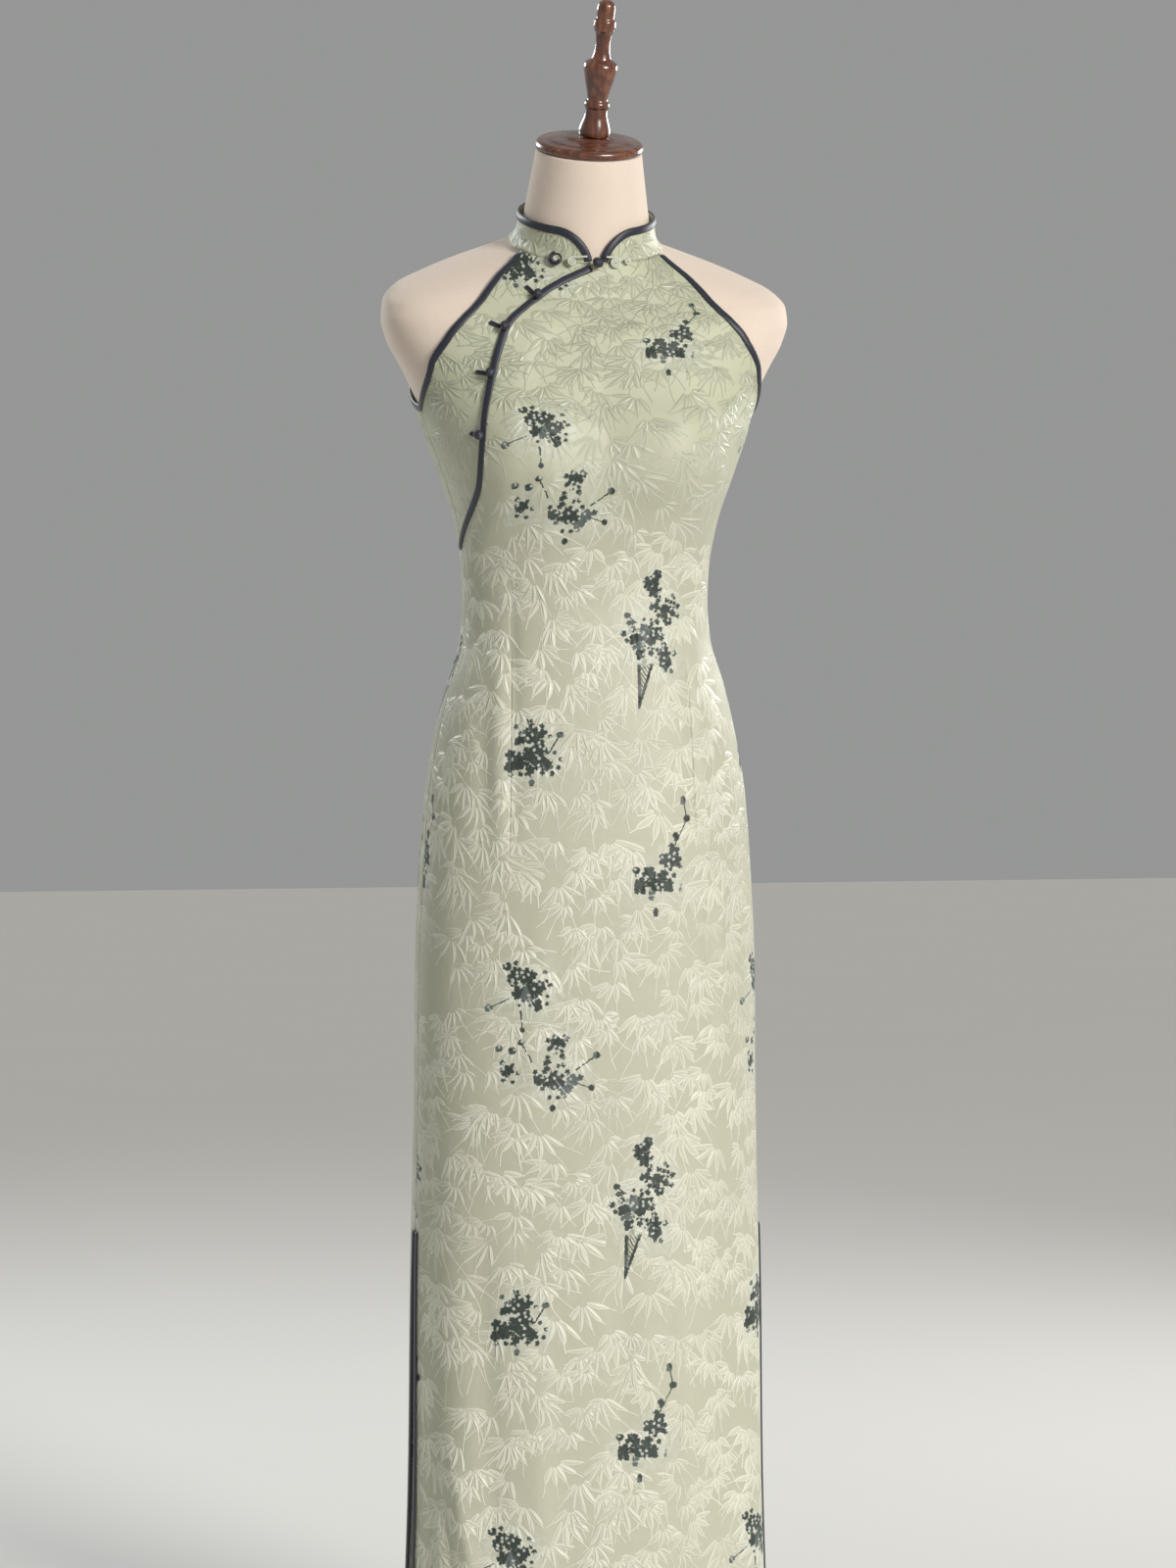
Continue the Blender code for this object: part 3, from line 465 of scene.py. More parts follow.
@dataclass(frozen=True)
class LeafSprays:
    """The woven figure: fans of narrow leaves that hang down and outward, each layer over the next."""

    layers: tuple[Spray, ...] = (
        Spray(0.045, 0.37, (0.013, 0.027), 0.74),
        Spray(0.040, -0.52, (0.313, 0.127), 0.74),
        Spray(0.050, 1.08, (0.171, 0.459), 0.80),
        Spray(0.043, 0.80, (0.427, 0.233), 0.78),
    )
    step: float = 0.47  # angle between two leaves
    leaves_each_side: float = 2.0
    leaf_width: float = 0.0022
    leaf_length: tuple[float, float] = (0.017, 0.027)
    stalk: float = 0.0050  # bare length between a fan's root and its leaves
    drop: float = 0.26  # how far a fan's root is above its cell's middle, in cells
    swing: float = 1.7  # widest difference between two fans' turns
    uneven: float = 0.16  # a leaf is shorter than its fan's length by up to twice this share
    soft: float = 0.0004
    outline: float = 0.00045
    bend_waves: float = 14
    bend_reach: Colour = (0.034, 0.024, 0.0)
    lower_relief: float = 0.8  # height of a lower layer's leaves, as a share of the top layer's

    def layer(self, graph: Graph, place: Value, spray: Spray) -> tuple[Value, Value, Value]:
        """One layer of fans, one to a cell.

        A leaf's half width is the greatest width times the 0.75th power of 4t(1-t), where t runs from its
        stalk to its tip.

        Args:
            graph: the material's nodes.
            place: the place on the cloth.
            spray: the layer's sizes.

        Returns:
            The mask of the leaves, the mask of their outlines, and each leaf's height from edge to rib.
        """
        sin, cos = math.sin(spray.turn), math.cos(spray.turn)
        x, y, _ = graph.split(graph.vector("ADD", place, (*spray.shift, 0.0)))
        turned = graph.join(x * cos - y * sin, x * sin + y * cos)
        cell = graph.cells(turned, spray.size, 0.85)
        chance = graph.split(graph.other(cell, "Color"))
        local = graph.vector("SUBTRACT", turned, graph.other(cell, "Position"))
        root = spray.size * self.drop
        local = graph.vector("SUBTRACT", local, (-root * sin, root * cos, 0.0))
        x, y, _ = graph.split(local)
        down = (x * cos + y * sin).math("ARCTAN2", x * sin - y * cos)
        swing = down + (chance[0] - 0.5) * self.swing
        leaf = (swing * (1 / self.step)).math("ROUND")
        leaf = leaf.least(self.leaves_each_side).most(-self.leaves_each_side)
        off_middle = swing - leaf * self.step
        away = graph.length(local)
        spread = (leaf * 12.9 + chance[2] * 7.0).math("SINE") * self.uneven + (1 - self.uneven)
        length = (chance[1] * (self.leaf_length[1] - self.leaf_length[0]) + self.leaf_length[0]) * spread
        share = ((away * off_middle.math("COSINE") - self.stalk) / length).clamped()
        half = (share * (1.0 - share) * 4.0) ** 0.75 * self.leaf_width
        off = abs(away * off_middle.math("SINE"))
        present = chance[2].below(spray.filled, 0.01)
        inside = off.below(half, self.soft) * present
        outline = abs(off - half).below(self.outline, 0.0003) * share.above(0.02, 0.01) * present
        round_leaf = ((half - off) * (1 / self.leaf_width)).clamped() * present
        return inside, outline, round_leaf

    def figure(self, graph: Graph, u: Value, v: Value) -> tuple[Value, Value, Value]:
        """All the layers, the first uppermost, bent by slow noise."""
        place = graph.wavered(graph.join(u, v), self.bend_waves, 1, self.bend_reach)
        leaves, lines, relief = self.layer(graph, place, self.layers[0])
        for spray in self.layers[1:]:
            more, outline, height = self.layer(graph, place, spray)
            lines = lines.most(outline * (1.0 - leaves))
            relief = relief.most(height * (1.0 - leaves) * self.lower_relief)
            leaves = leaves.most(more)
        return leaves, lines, relief


@dataclass(frozen=True)
class InkSilk:
    """Celadon silk with woven leaf sprays and printed ink blossoms, on a UV map in metres."""

    name: str = "celadon_silk"
    ground: Colour = (0.500, 0.492, 0.392)
    ground_chest: Colour = (0.535, 0.545, 0.410)
    # the leaves' colour below the chest, lighter than the ground, is painted sheen on the woven figure
    leaf: Colour = (0.660, 0.655, 0.535)
    # the leaves' colour on the chest, darker than the ground, is painted shade on the same figure
    leaf_chest_shade: Colour = (0.520, 0.530, 0.400)
    # the leaves' outline colour below the chest, far lighter than the ground, is a painted highlight
    line: Colour = (0.800, 0.795, 0.665)
    # the outline colour on the chest, darker than the ground, is painted shade
    line_chest_shade: Colour = (0.290, 0.315, 0.215)
    ink: Colour = (0.014, 0.027, 0.021)
    ink_pale: Colour = (0.095, 0.120, 0.115)
    fleck: Colour = (0.560, 0.600, 0.540)
    mist: Colour = (0.640, 0.680, 0.640)
    cloud_shade: Colour = (0.80, 0.85, 0.70)
    chest_from: float = WAIST + 0.06
    chest_over: float = 0.16  # height over which the chest's colours come in, where the woven leaves' painted sheen turns to painted shade
    # the large and the small blossoms: width of a cell, least and greatest radius, reach from a cluster
    large: tuple[float, tuple[float, float], float] = (0.0116, (0.0048, 0.0080), 1.12)
    small: tuple[float, tuple[float, float], float] = (0.0074, (0.0018, 0.0036), 1.30)
    core: float = 0.48  # filled part of a cluster, where 1 is its edge
    core_ragged: float = 1.6
    speck: float = 0.0052
    bump_depth: float = 0.0012
    bump_strength: float = 0.9
    dart_from_centre: float = 0.086
    dart_low: float = WAIST - 0.225
    dart_high: float = WAIST - 0.055
    print_design: InkBlossoms = field(default_factory=InkBlossoms)
    woven: LeafSprays = field(default_factory=LeafSprays)

    def ink_masks(self, graph: Graph, u: Value, v: Value) -> tuple[Value, Value, Value, Value]:
        """Where the print is, how pale it is, its pale grey-green flecks, and the pale mist around it."""
        design = self.print_design
        place = design.repeat(graph, u, v)
        large, paleness, near = design.blossoms(graph, place, *self.large)
        small, _, _ = design.blossoms(graph, place, *self.small)
        drawn = design.nearest(graph, place, design.buds)
        for stroke in design.stems:
            drawn = drawn.least(design.stem(graph, place, stroke))
        ragged = (graph.noise(place, 210, 2) - 0.5) * self.core_ragged
        core = (design.nearest(graph, place, design.clusters) + ragged).below(self.core, 0.12)
        mask = large.most(small).most(core).most(drawn.below(1.0, 0.3)).most(design.cone(graph, place))
        speck = graph.cells(place, self.speck, 1.0)
        rare = graph.split(graph.other(speck, "Color"))[0].above(0.55, 0.02)
        mist = near.below(1.5, 1.1) * graph.noise(place, 160, 2).above(0.46, 0.2)
        return mask, paleness, speck.below(0.27, 0.14) * rare, mist

    def build(self) -> bpy.types.Material:
        """The material."""
        graph = Graph(self.name)
        uv = graph.cloth_uv()
        u, v, _ = graph.split(uv)
        leaves, lines, relief = self.woven.figure(graph, u, v)
        mask, paleness, flecks, mist = self.ink_masks(graph, u, v)
        # above chest_from the ground turns greener and the woven figure turns from painted sheen to painted
        # shade
        chest_tone_and_figure_shade = ((v - self.chest_from) * (1 / self.chest_over)).clamped()
        cloud = graph.noise(uv, 9, 3)
        strength = (cloud * 2.4 - 0.55).clamped()
        ground = graph.mix(chest_tone_and_figure_shade, self.ground, self.ground_chest)
        ground = graph.mix(cloud * 0.45, ground, self.cloud_shade, Blend.MULTIPLY)
        # painted sheen on the woven leaves below the chest, painted shade on them above
        silk = graph.mix(leaves * (strength * 0.6 + 0.3), ground,
                         graph.mix(chest_tone_and_figure_shade, self.leaf, self.leaf_chest_shade))
        # painted highlight on the leaf outlines below the chest, painted shade on them above
        silk = graph.mix(lines * (strength * 0.5 + 0.3), silk,
                         graph.mix(chest_tone_and_figure_shade, self.line, self.line_chest_shade))
        silk = graph.mix(mist * 0.45, silk, self.mist)
        ink = graph.mix(paleness.above(0.80, 0.1), self.ink, self.ink_pale)
        ink = graph.mix(graph.noise(uv, 900, 2).above(0.62, 0.08) * 0.45, ink, self.ink_pale)
        ink = graph.mix(flecks * 0.85, ink, self.fleck)
        slub = graph.threads(uv, 90.0, 2400.0)
        thread = graph.threads(uv, 2600.0, 500.0, 1)
        weave = slub * 0.6 + thread * 0.4
        height = relief + lines * 0.20 + weave * 0.07 + graph.noise(uv, 48, 2) * 0.8 - self.dart(u, v) * 0.9
        graph.set(
            Base_Color=graph.mix(mask * 0.97, silk, ink),
            Roughness=0.50 - leaves * 0.12 + weave * 0.06,
            Normal=graph.relief(height, self.bump_depth, self.bump_strength),
            Specular_IOR_Level=0.5,
            Sheen_Weight=0.12,
            Sheen_Roughness=0.4,
            Sheen_Tint=(0.9, 0.95, 0.85),
        )
        return graph.material

    def dart(self, u: Value, v: Value) -> Value:
        """The stitched line of each long dart: a narrow dip that fades at both ends."""
        off = abs(abs(u) - self.dart_from_centre - abs(v - WAIST) * 0.02)
        ends = v.above(self.dart_low, 0.06) * v.below(self.dart_high, 0.05)
        return off.below(0.0004, 0.0016) * ends


@dataclass(frozen=True)
class Satin:
    """Satin cut on the bias, on a UV map in metres: a fine slanting rib and a soft shine."""

    name: str
    colour: Colour
    # the lighter colour: on the rib crests it is a painted highlight, in the grain noise it is random wear
    worn: Colour
    roughness: float = 0.34
    rib: float = 0.00055

    def build(self) -> bpy.types.Material:
        """The material: ribs run along lines of equal u + v, lighter on their crests, which is a painted
        highlight, and lighter at random where the grain noise shows wear.
        """
        graph = Graph(self.name)
        uv = graph.cloth_uv()
        u, v, _ = graph.split(uv)
        ribs = ((u + v) * (1 / self.rib)).math("PINGPONG", 1.0)
        grain = graph.noise(uv, 260, 3)
        streak = graph.threads(uv, 900.0, 60.0)
        graph.set(
            # the rib crests' share of the lighter colour is painted highlight; the grain's share is random
            # wear
            Base_Color=graph.mix((ribs * 0.35 + grain * 0.75 - 0.25).clamped(), self.colour, self.worn),
            Roughness=self.roughness + grain * 0.10 + streak * 0.06,
            Normal=graph.relief(ribs * 0.6 + grain * 0.5, 0.00012, 0.7),
            Sheen_Weight=0.25,
            Sheen_Roughness=0.35,
            Specular_IOR_Level=0.55,
        )
        return graph.material


@dataclass(frozen=True)
class Linen:
    """Undyed linen stretched over the form, on a UV map in metres."""

    name: str = "form_linen"
    pale: Colour = (0.830, 0.715, 0.610)
    shade: Colour = (0.700, 0.585, 0.485)
    thread: float = 0.0009

    def build(self) -> bpy.types.Material:
        """The material: a plain weave, one thread over and one under, with slubs both ways."""
        graph = Graph(self.name)
        uv = graph.cloth_uv()
        u, v, _ = graph.split(uv)
        across = (u * (math.pi / self.thread)).math("SINE")
        up = (v * (math.pi / self.thread)).math("SINE")
        weave = across * up * 0.5 + 0.5
        slub_across = graph.threads(uv, 60.0, 900.0)
        slub_up = graph.threads(uv, 900.0, 60.0)
        slub = slub_across * 0.5 + slub_up * 0.5
        stain = graph.noise(uv, 9, 4)
        tone = (weave * 0.25 + slub * 0.9 + stain * 0.35 - 0.35).clamped()
        graph.set(
            Base_Color=graph.mix(tone, self.shade, self.pale),
            Roughness=0.80 + slub * 0.12,
            Normal=graph.relief(weave * 0.6 + slub, 0.00018, 0.75),
            Sheen_Weight=0.12,
        )
        return graph.material


@dataclass(frozen=True)
class VarnishedWood:
    """Dark turned hardwood under a worn varnish, on Object coordinates."""

    name: str = "walnut"
    waves: tuple[float, float, float] = (240.0, 240.0, 16.0)  # waves a metre: fewest along the grain
    dark: Colour = (0.036, 0.011, 0.007)
    middle: Colour = (0.130, 0.040, 0.019)
    bright: Colour = (0.330, 0.115, 0.042)

    def build(self) -> bpy.types.Material:
        """The material: growth rings of noise stretched along the grain, with pores and handling wear."""
        graph = Graph(self.name)
        at = graph.object_place()
        along_grain = graph.vector("MULTIPLY", at, self.waves)
        rings = graph.noise(along_grain, 1, 3)
        pores = graph.noise(along_grain, 6, 2)
        wear = graph.noise(at, 45, 3)
        wood = graph.colour_by(rings * 0.7 + wear * 0.3,
                               ((0.30, self.dark), (0.50, self.middle), (0.74, self.bright)))
        wood = graph.mix(pores.above(0.60, 0.06) * 0.6, wood, self.dark)
        graph.set(
            Base_Color=wood,
            Roughness=0.20 + wear * 0.16,
            Normal=graph.relief(pores * -0.6 + rings * 0.4, 0.00012, 0.5),
            Coat_Weight=(wear * 0.9 + 0.25).clamped(),
            Coat_Roughness=0.12,
            Specular_IOR_Level=0.6,
        )
        return graph.material


@dataclass(frozen=True)
class PaintedSteel:
    """Dark stove-enamelled steel with a fine ripple and rubbed patches, on Object coordinates."""

    name: str = "stand_steel"
    paint: Colour = (0.030, 0.028, 0.026)
    rubbed: Colour = (0.090, 0.082, 0.072)

    def build(self) -> bpy.types.Material:
        """The material: fine noise for the ripple and coarse noise for the rubbing."""
        graph = Graph(self.name)
        at = graph.object_place()
        ripple = graph.noise(at, 420, 2)
        rub = graph.noise(at, 26, 5)
        graph.set(
            Base_Color=graph.mix(rub.above(0.64, 0.22) * 0.6, self.paint, self.rubbed),
            Roughness=0.34 + rub * 0.22,
            Normal=graph.relief(ripple, 0.0002, 0.35),
            Specular_IOR_Level=0.5,
        )
        return graph.material


@dataclass(frozen=True)
class PaleFloor:
    """A plain pale studio floor."""

    name: str = "studio_floor"
    colour: Colour = (0.70, 0.69, 0.66)

    def build(self) -> bpy.types.Material:
        """The material."""
        graph = Graph(self.name)
        at = graph.object_place()
        graph.set(
            Base_Color=graph.mix(graph.noise(at, 3, 3) * 0.4, self.colour, (0.66, 0.655, 0.63)),
            Roughness=0.75,
        )
        return graph.material


@dataclass
class Finishes:
    """Every material of the object, made once."""

    silk: bpy.types.Material = field(default_factory=lambda: InkSilk().build())
    # each satin's second colour is its rib crests' painted highlight and its random wear
    satin: bpy.types.Material = field(default_factory=lambda: Satin(
        "ink_satin", (0.010, 0.012, 0.022), (0.040, 0.045, 0.068)).build())
    cord: bpy.types.Material = field(default_factory=lambda: Satin(
        "pale_cord", (0.50, 0.52, 0.43), (0.74, 0.75, 0.64), 0.42, 0.0009).build())
    linen: bpy.types.Material = field(default_factory=lambda: Linen().build())
    walnut: bpy.types.Material = field(default_factory=lambda: VarnishedWood().build())
    cap_walnut: bpy.types.Material = field(default_factory=lambda: VarnishedWood(
        "cap_walnut", (14.0, 250.0, 250.0)).build())
    steel: bpy.types.Material = field(default_factory=lambda: PaintedSteel().build())


# ------------------------------------------------------------
# Shared shapes


def smooth_between(at: Array, known: Array, wanted: Array) -> Array:
    """A cubic through the known values whose slopes are limited, so it never swings past them.

    Args:
        at: rising places.
        known: the values there.
        wanted: the places asked for.

    Returns:
        The values at the wanted places.
    """
    at, known, wanted = (np.asarray(values, float) for values in (at, known, wanted))
    step = np.diff(at)
    slope = np.diff(known) / step
    same_way = slope[:-1] * slope[1:] > 0
    low, high = np.where(same_way, slope[:-1], 1.0), np.where(same_way, slope[1:], 1.0)
    before, after = 2 * step[1:] + step[:-1], step[1:] + 2 * step[:-1]
    inner = np.where(same_way, (before + after) / (before / low + after / high), 0.0)
    tangent = np.concatenate([slope[:1], inner, slope[-1:]])
    i = np.clip(np.searchsorted(at, wanted) - 1, 0, len(step) - 1)
    t = np.clip((wanted - at[i]) / step[i], 0.0, 1.0)
    return (
        (1 + 2 * t) * (1 - t) ** 2 * known[i]
        + t * (1 - t) ** 2 * step[i] * tangent[i]
        + t * t * (3 - 2 * t) * known[i + 1]
        + t * t * (t - 1) * step[i] * tangent[i + 1]
    )


def ramp(share: Array) -> Array:
    """Smooth rise from 0 to 1 as share goes from 0 to 1: three times its square less twice its cube."""
    share = np.clip(share, 0.0, 1.0)
    return share * share * (3 - 2 * share)


def unit(vectors: Array) -> Array:
    """The vectors at length 1."""
    return vectors / np.linalg.norm(vectors, axis=-1, keepdims=True)


def spaced(stops: Sequence[float], step: float) -> Array:
    """Numbers from the first stop to the last that keep every stop and are at most a step apart."""
    runs = [np.linspace(low, high, max(1, math.ceil((high - low) / step - 1e-9)) + 1)[:-1]
            for low, high in zip(stops[:-1], stops[1:])]
    return np.concatenate([*runs, stops[-1:]])


class Skin:
    """Gathers grids of points into one mesh with a UV map in metres."""

    def __init__(self) -> None:
        """Starts with nothing."""
        self.points: list[Array] = []
        self.faces: list[list[int]] = []
        self.corners: list[Array] = []
        self.slots: list[int] = []
        self.count = 0

    def add(self, points: Array, uv: Array, wrap: bool = False, caps: bool = False, slot: int = 0) -> None:
        """Adds a grid of quads.

        Args:
            points: rows by columns by 3.
            uv: rows by columns by 2, with one more column where the grid wraps.
            wrap: whether the last column joins the first.
            caps: whether a fan about its middle closes the first row and the last.
            slot: which of the piece's materials it wears.
        """
        rows, columns = points.shape[:2]
        index = self.count + np.arange(rows * columns).reshape(rows, columns)
        here = index if wrap else index[:, :-1]
        beside = np.roll(index, -1, axis=1) if wrap else index[:, 1:]
        quads = np.stack([here[:-1], beside[:-1], beside[1:], here[1:]], axis=-1).reshape(-1, 4)
        corner = np.stack([uv[:-1, :-1], uv[:-1, 1:], uv[1:, 1:], uv[1:, :-1]], axis=2)
        self.points.append(points.reshape(-1, 3))
        self.faces += quads.tolist()
        self.corners.append(corner.reshape(-1, 2))
        self.count += rows * columns
        if caps:
            middles = points[[0, -1]].mean(axis=1)
            self.points.append(middles)
            for row, middle, flip in ((0, self.count, True), (-1, self.count + 1, False)):
                ends = [beside[row], here[row]] if flip else [here[row], beside[row]]
                fan = np.stack([*ends, np.full(columns, middle)], axis=-1)
                edge = [uv[row, 1:], uv[row, :-1]] if flip else [uv[row, :-1], uv[row, 1:]]
                heart = np.broadcast_to(uv[row].mean(axis=0), edge[0].shape)
                self.faces += fan.tolist()
                self.corners.append(np.stack([*edge, heart], axis=1).reshape(-1, 2))
            self.count += 2
        self.slots += [slot] * (len(self.faces) - len(self.slots))

    def build(self, name: str, materials: Sequence[bpy.types.Material],
              closed: bool = True) -> bpy.types.Object:
        """Makes the object, linked to the scene.

        Args:
            name: the piece's name.
            materials: its materials, in the order of the slots.
            closed: whether it is a closed shape, whose faces are then turned outward.

        Returns:
            The object, at the origin.
        """
        mesh = bpy.data.meshes.new(name)
        mesh.from_pydata(np.concatenate(self.points).tolist(), [], self.faces)
        layer = mesh.uv_layers.new(name="cloth")
        layer.data.foreach_set("uv", np.concatenate(self.corners).astype(np.float32).ravel())
        for material in materials:
            mesh.materials.append(material)
        mesh.polygons.foreach_set("material_index", self.slots)
        mesh.shade_smooth()
        if closed:
            shape = bmesh.new()
            shape.from_mesh(mesh)
            bmesh.ops.recalc_face_normals(shape, faces=shape.faces)
            shape.to_mesh(mesh)
            shape.free()
        made = bpy.data.objects.new(name, mesh)
        bpy.context.scene.collection.objects.link(made)
        return made


def in_place(piece: bpy.types.Object, node: str) -> bpy.types.Object:
    """Makes a piece ride on the frame and stand for that CAD node, whose part is hidden."""
    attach(piece, "root")
    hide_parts(node)
    log.info("%s: %d faces", piece.name, len(piece.data.polygons))
    return piece


def closed_piece(name: str, grid: tuple[Array, Array], finish: bpy.types.Material,
                 node: str) -> bpy.types.Object:
    """A piece made of one grid, which wraps round and is closed at both ends.

    Args:
        name: the piece's name.
        grid: its points and its UV.
        finish: its material.
        node: the CAD node it stands for.

    Returns:
        The piece.
    """
    skin = Skin()
    skin.add(*grid, wrap=True, caps=True)
    return in_place(skin.build(name, [finish]), node)


def cloth_piece(name: str, grid: tuple[Array, Array], silk: bpy.types.Material, thickness: float,
                node: str) -> bpy.types.Object:
    """A panel whose wall is raised outward from a grid of its inner face.

    Args:
        name: the piece's name.
        grid: its points and its UV.
        silk: its material.
        thickness: its wall.
        node: the CAD node it stands for.

    Returns:
        The panel, a thin closed shell.
    """
    skin = Skin()
    skin.add(*grid)
    piece = skin.build(name, [silk], closed=False)
    wall = piece.modifiers.new("cloth", "SOLIDIFY")
    wall.thickness = thickness
    wall.offset = 1.0
    return in_place(piece, node)


def grid_of(*parts: Array) -> Array:
    """A grid whose last axis holds the parts, each of which may be a row, a column or a full grid."""
    return np.stack(np.broadcast_arrays(*parts), axis=-1)


def distance_along(path: Array) -> Array:
    """Each point's distance from the path's first point, measured along the path."""
    return np.concatenate([[0.0], np.cumsum(np.linalg.norm(np.diff(path, axis=0), axis=1))])


def armhole_round(count: int) -> Array:
    """Heights of the armhole's rounded foot: a quarter turn of a circle, from its lowest point."""
    turn = np.linspace(0, math.pi / 2, count)
    return ARMHOLE_BOTTOM + (ARMHOLE_TURN - ARMHOLE_BOTTOM) * (1 - np.cos(turn))


@dataclass(frozen=True)
class Place:
    """A spot with its own axes, z away from the cloth."""

    origin: Array
    across: Array
    up: Array
    out: Array

    @classmethod
    def on(cls, origin: Array, normal: Array, along: Array) -> "Place":
        """The place at origin whose z is the normal and whose x points along."""
        out = unit(np.asarray(normal, float))
        across = np.asarray(along, float)
        across = unit(across - out * (across @ out))
        return cls(np.asarray(origin, float), across, np.cross(out, across), out)

    def put(self, local: Array) -> Array:
        """Points given in the place's own axes, as points of the frame."""
        return self.origin + local @ np.stack([self.across, self.up, self.out])


def tube(path: Array, radius: Array, up: Array, sides: int = 12) -> tuple[Array, Array]:
    """A round cord along a path.

    Each ring is the path's point plus the radius times the cosine along the side direction and the sine
    along the up direction; the side direction is square to the path and to up.

    Args:
        path: points along the cord.
        radius: its radius at each point.
        up: the direction that stays up.
        sides: points round the cord.

    Returns:
        The grid of points and its UV in metres.
    """
    ahead = unit(np.gradient(path, axis=0))
    side = unit(np.cross(ahead, up))
    over = np.cross(side, ahead)
    turn = np.arange(sides) * 2 * math.pi / sides
    ring = np.cos(turn)[:, None] * side[:, None] + np.sin(turn)[:, None] * over[:, None]
    points = path[:, None] + np.asarray(radius).reshape(-1, 1, 1) * ring
    around = np.linspace(0, 2 * math.pi * float(np.mean(radius)), sides + 1)
    return points, grid_of(around[None], distance_along(path)[:, None])


# ------------------------------------------------------------
# The figure, and how cloth lies on it


@dataclass(frozen=True)
class Ring:
    """A level section: half width, depth to the front and back, fullness (2 is an ellipse), tilt and lean."""

    height: float
    half_width: float
    front: float
    back: float
    fullness: float
    tilt: float = 0.0
    lean: float = 0.0


@dataclass(frozen=True)
class Flute:
    """A soft upright fold of the skirt, at its angle, with its width and its depth at the hem."""

    angle_deg: float
    width_deg: float
    depth: float


@dataclass(frozen=True)
class Crease:
    """A fold between two points, each a distance from the centre line and a height."""

    side: Side
    start: tuple[float, float]
    end: tuple[float, float]
    width: float
    depth: float


@dataclass(frozen=True)
class Edge:
    """A point of a panel's edge: its height and its distance from the centre line."""

    height: float
    from_centre: float


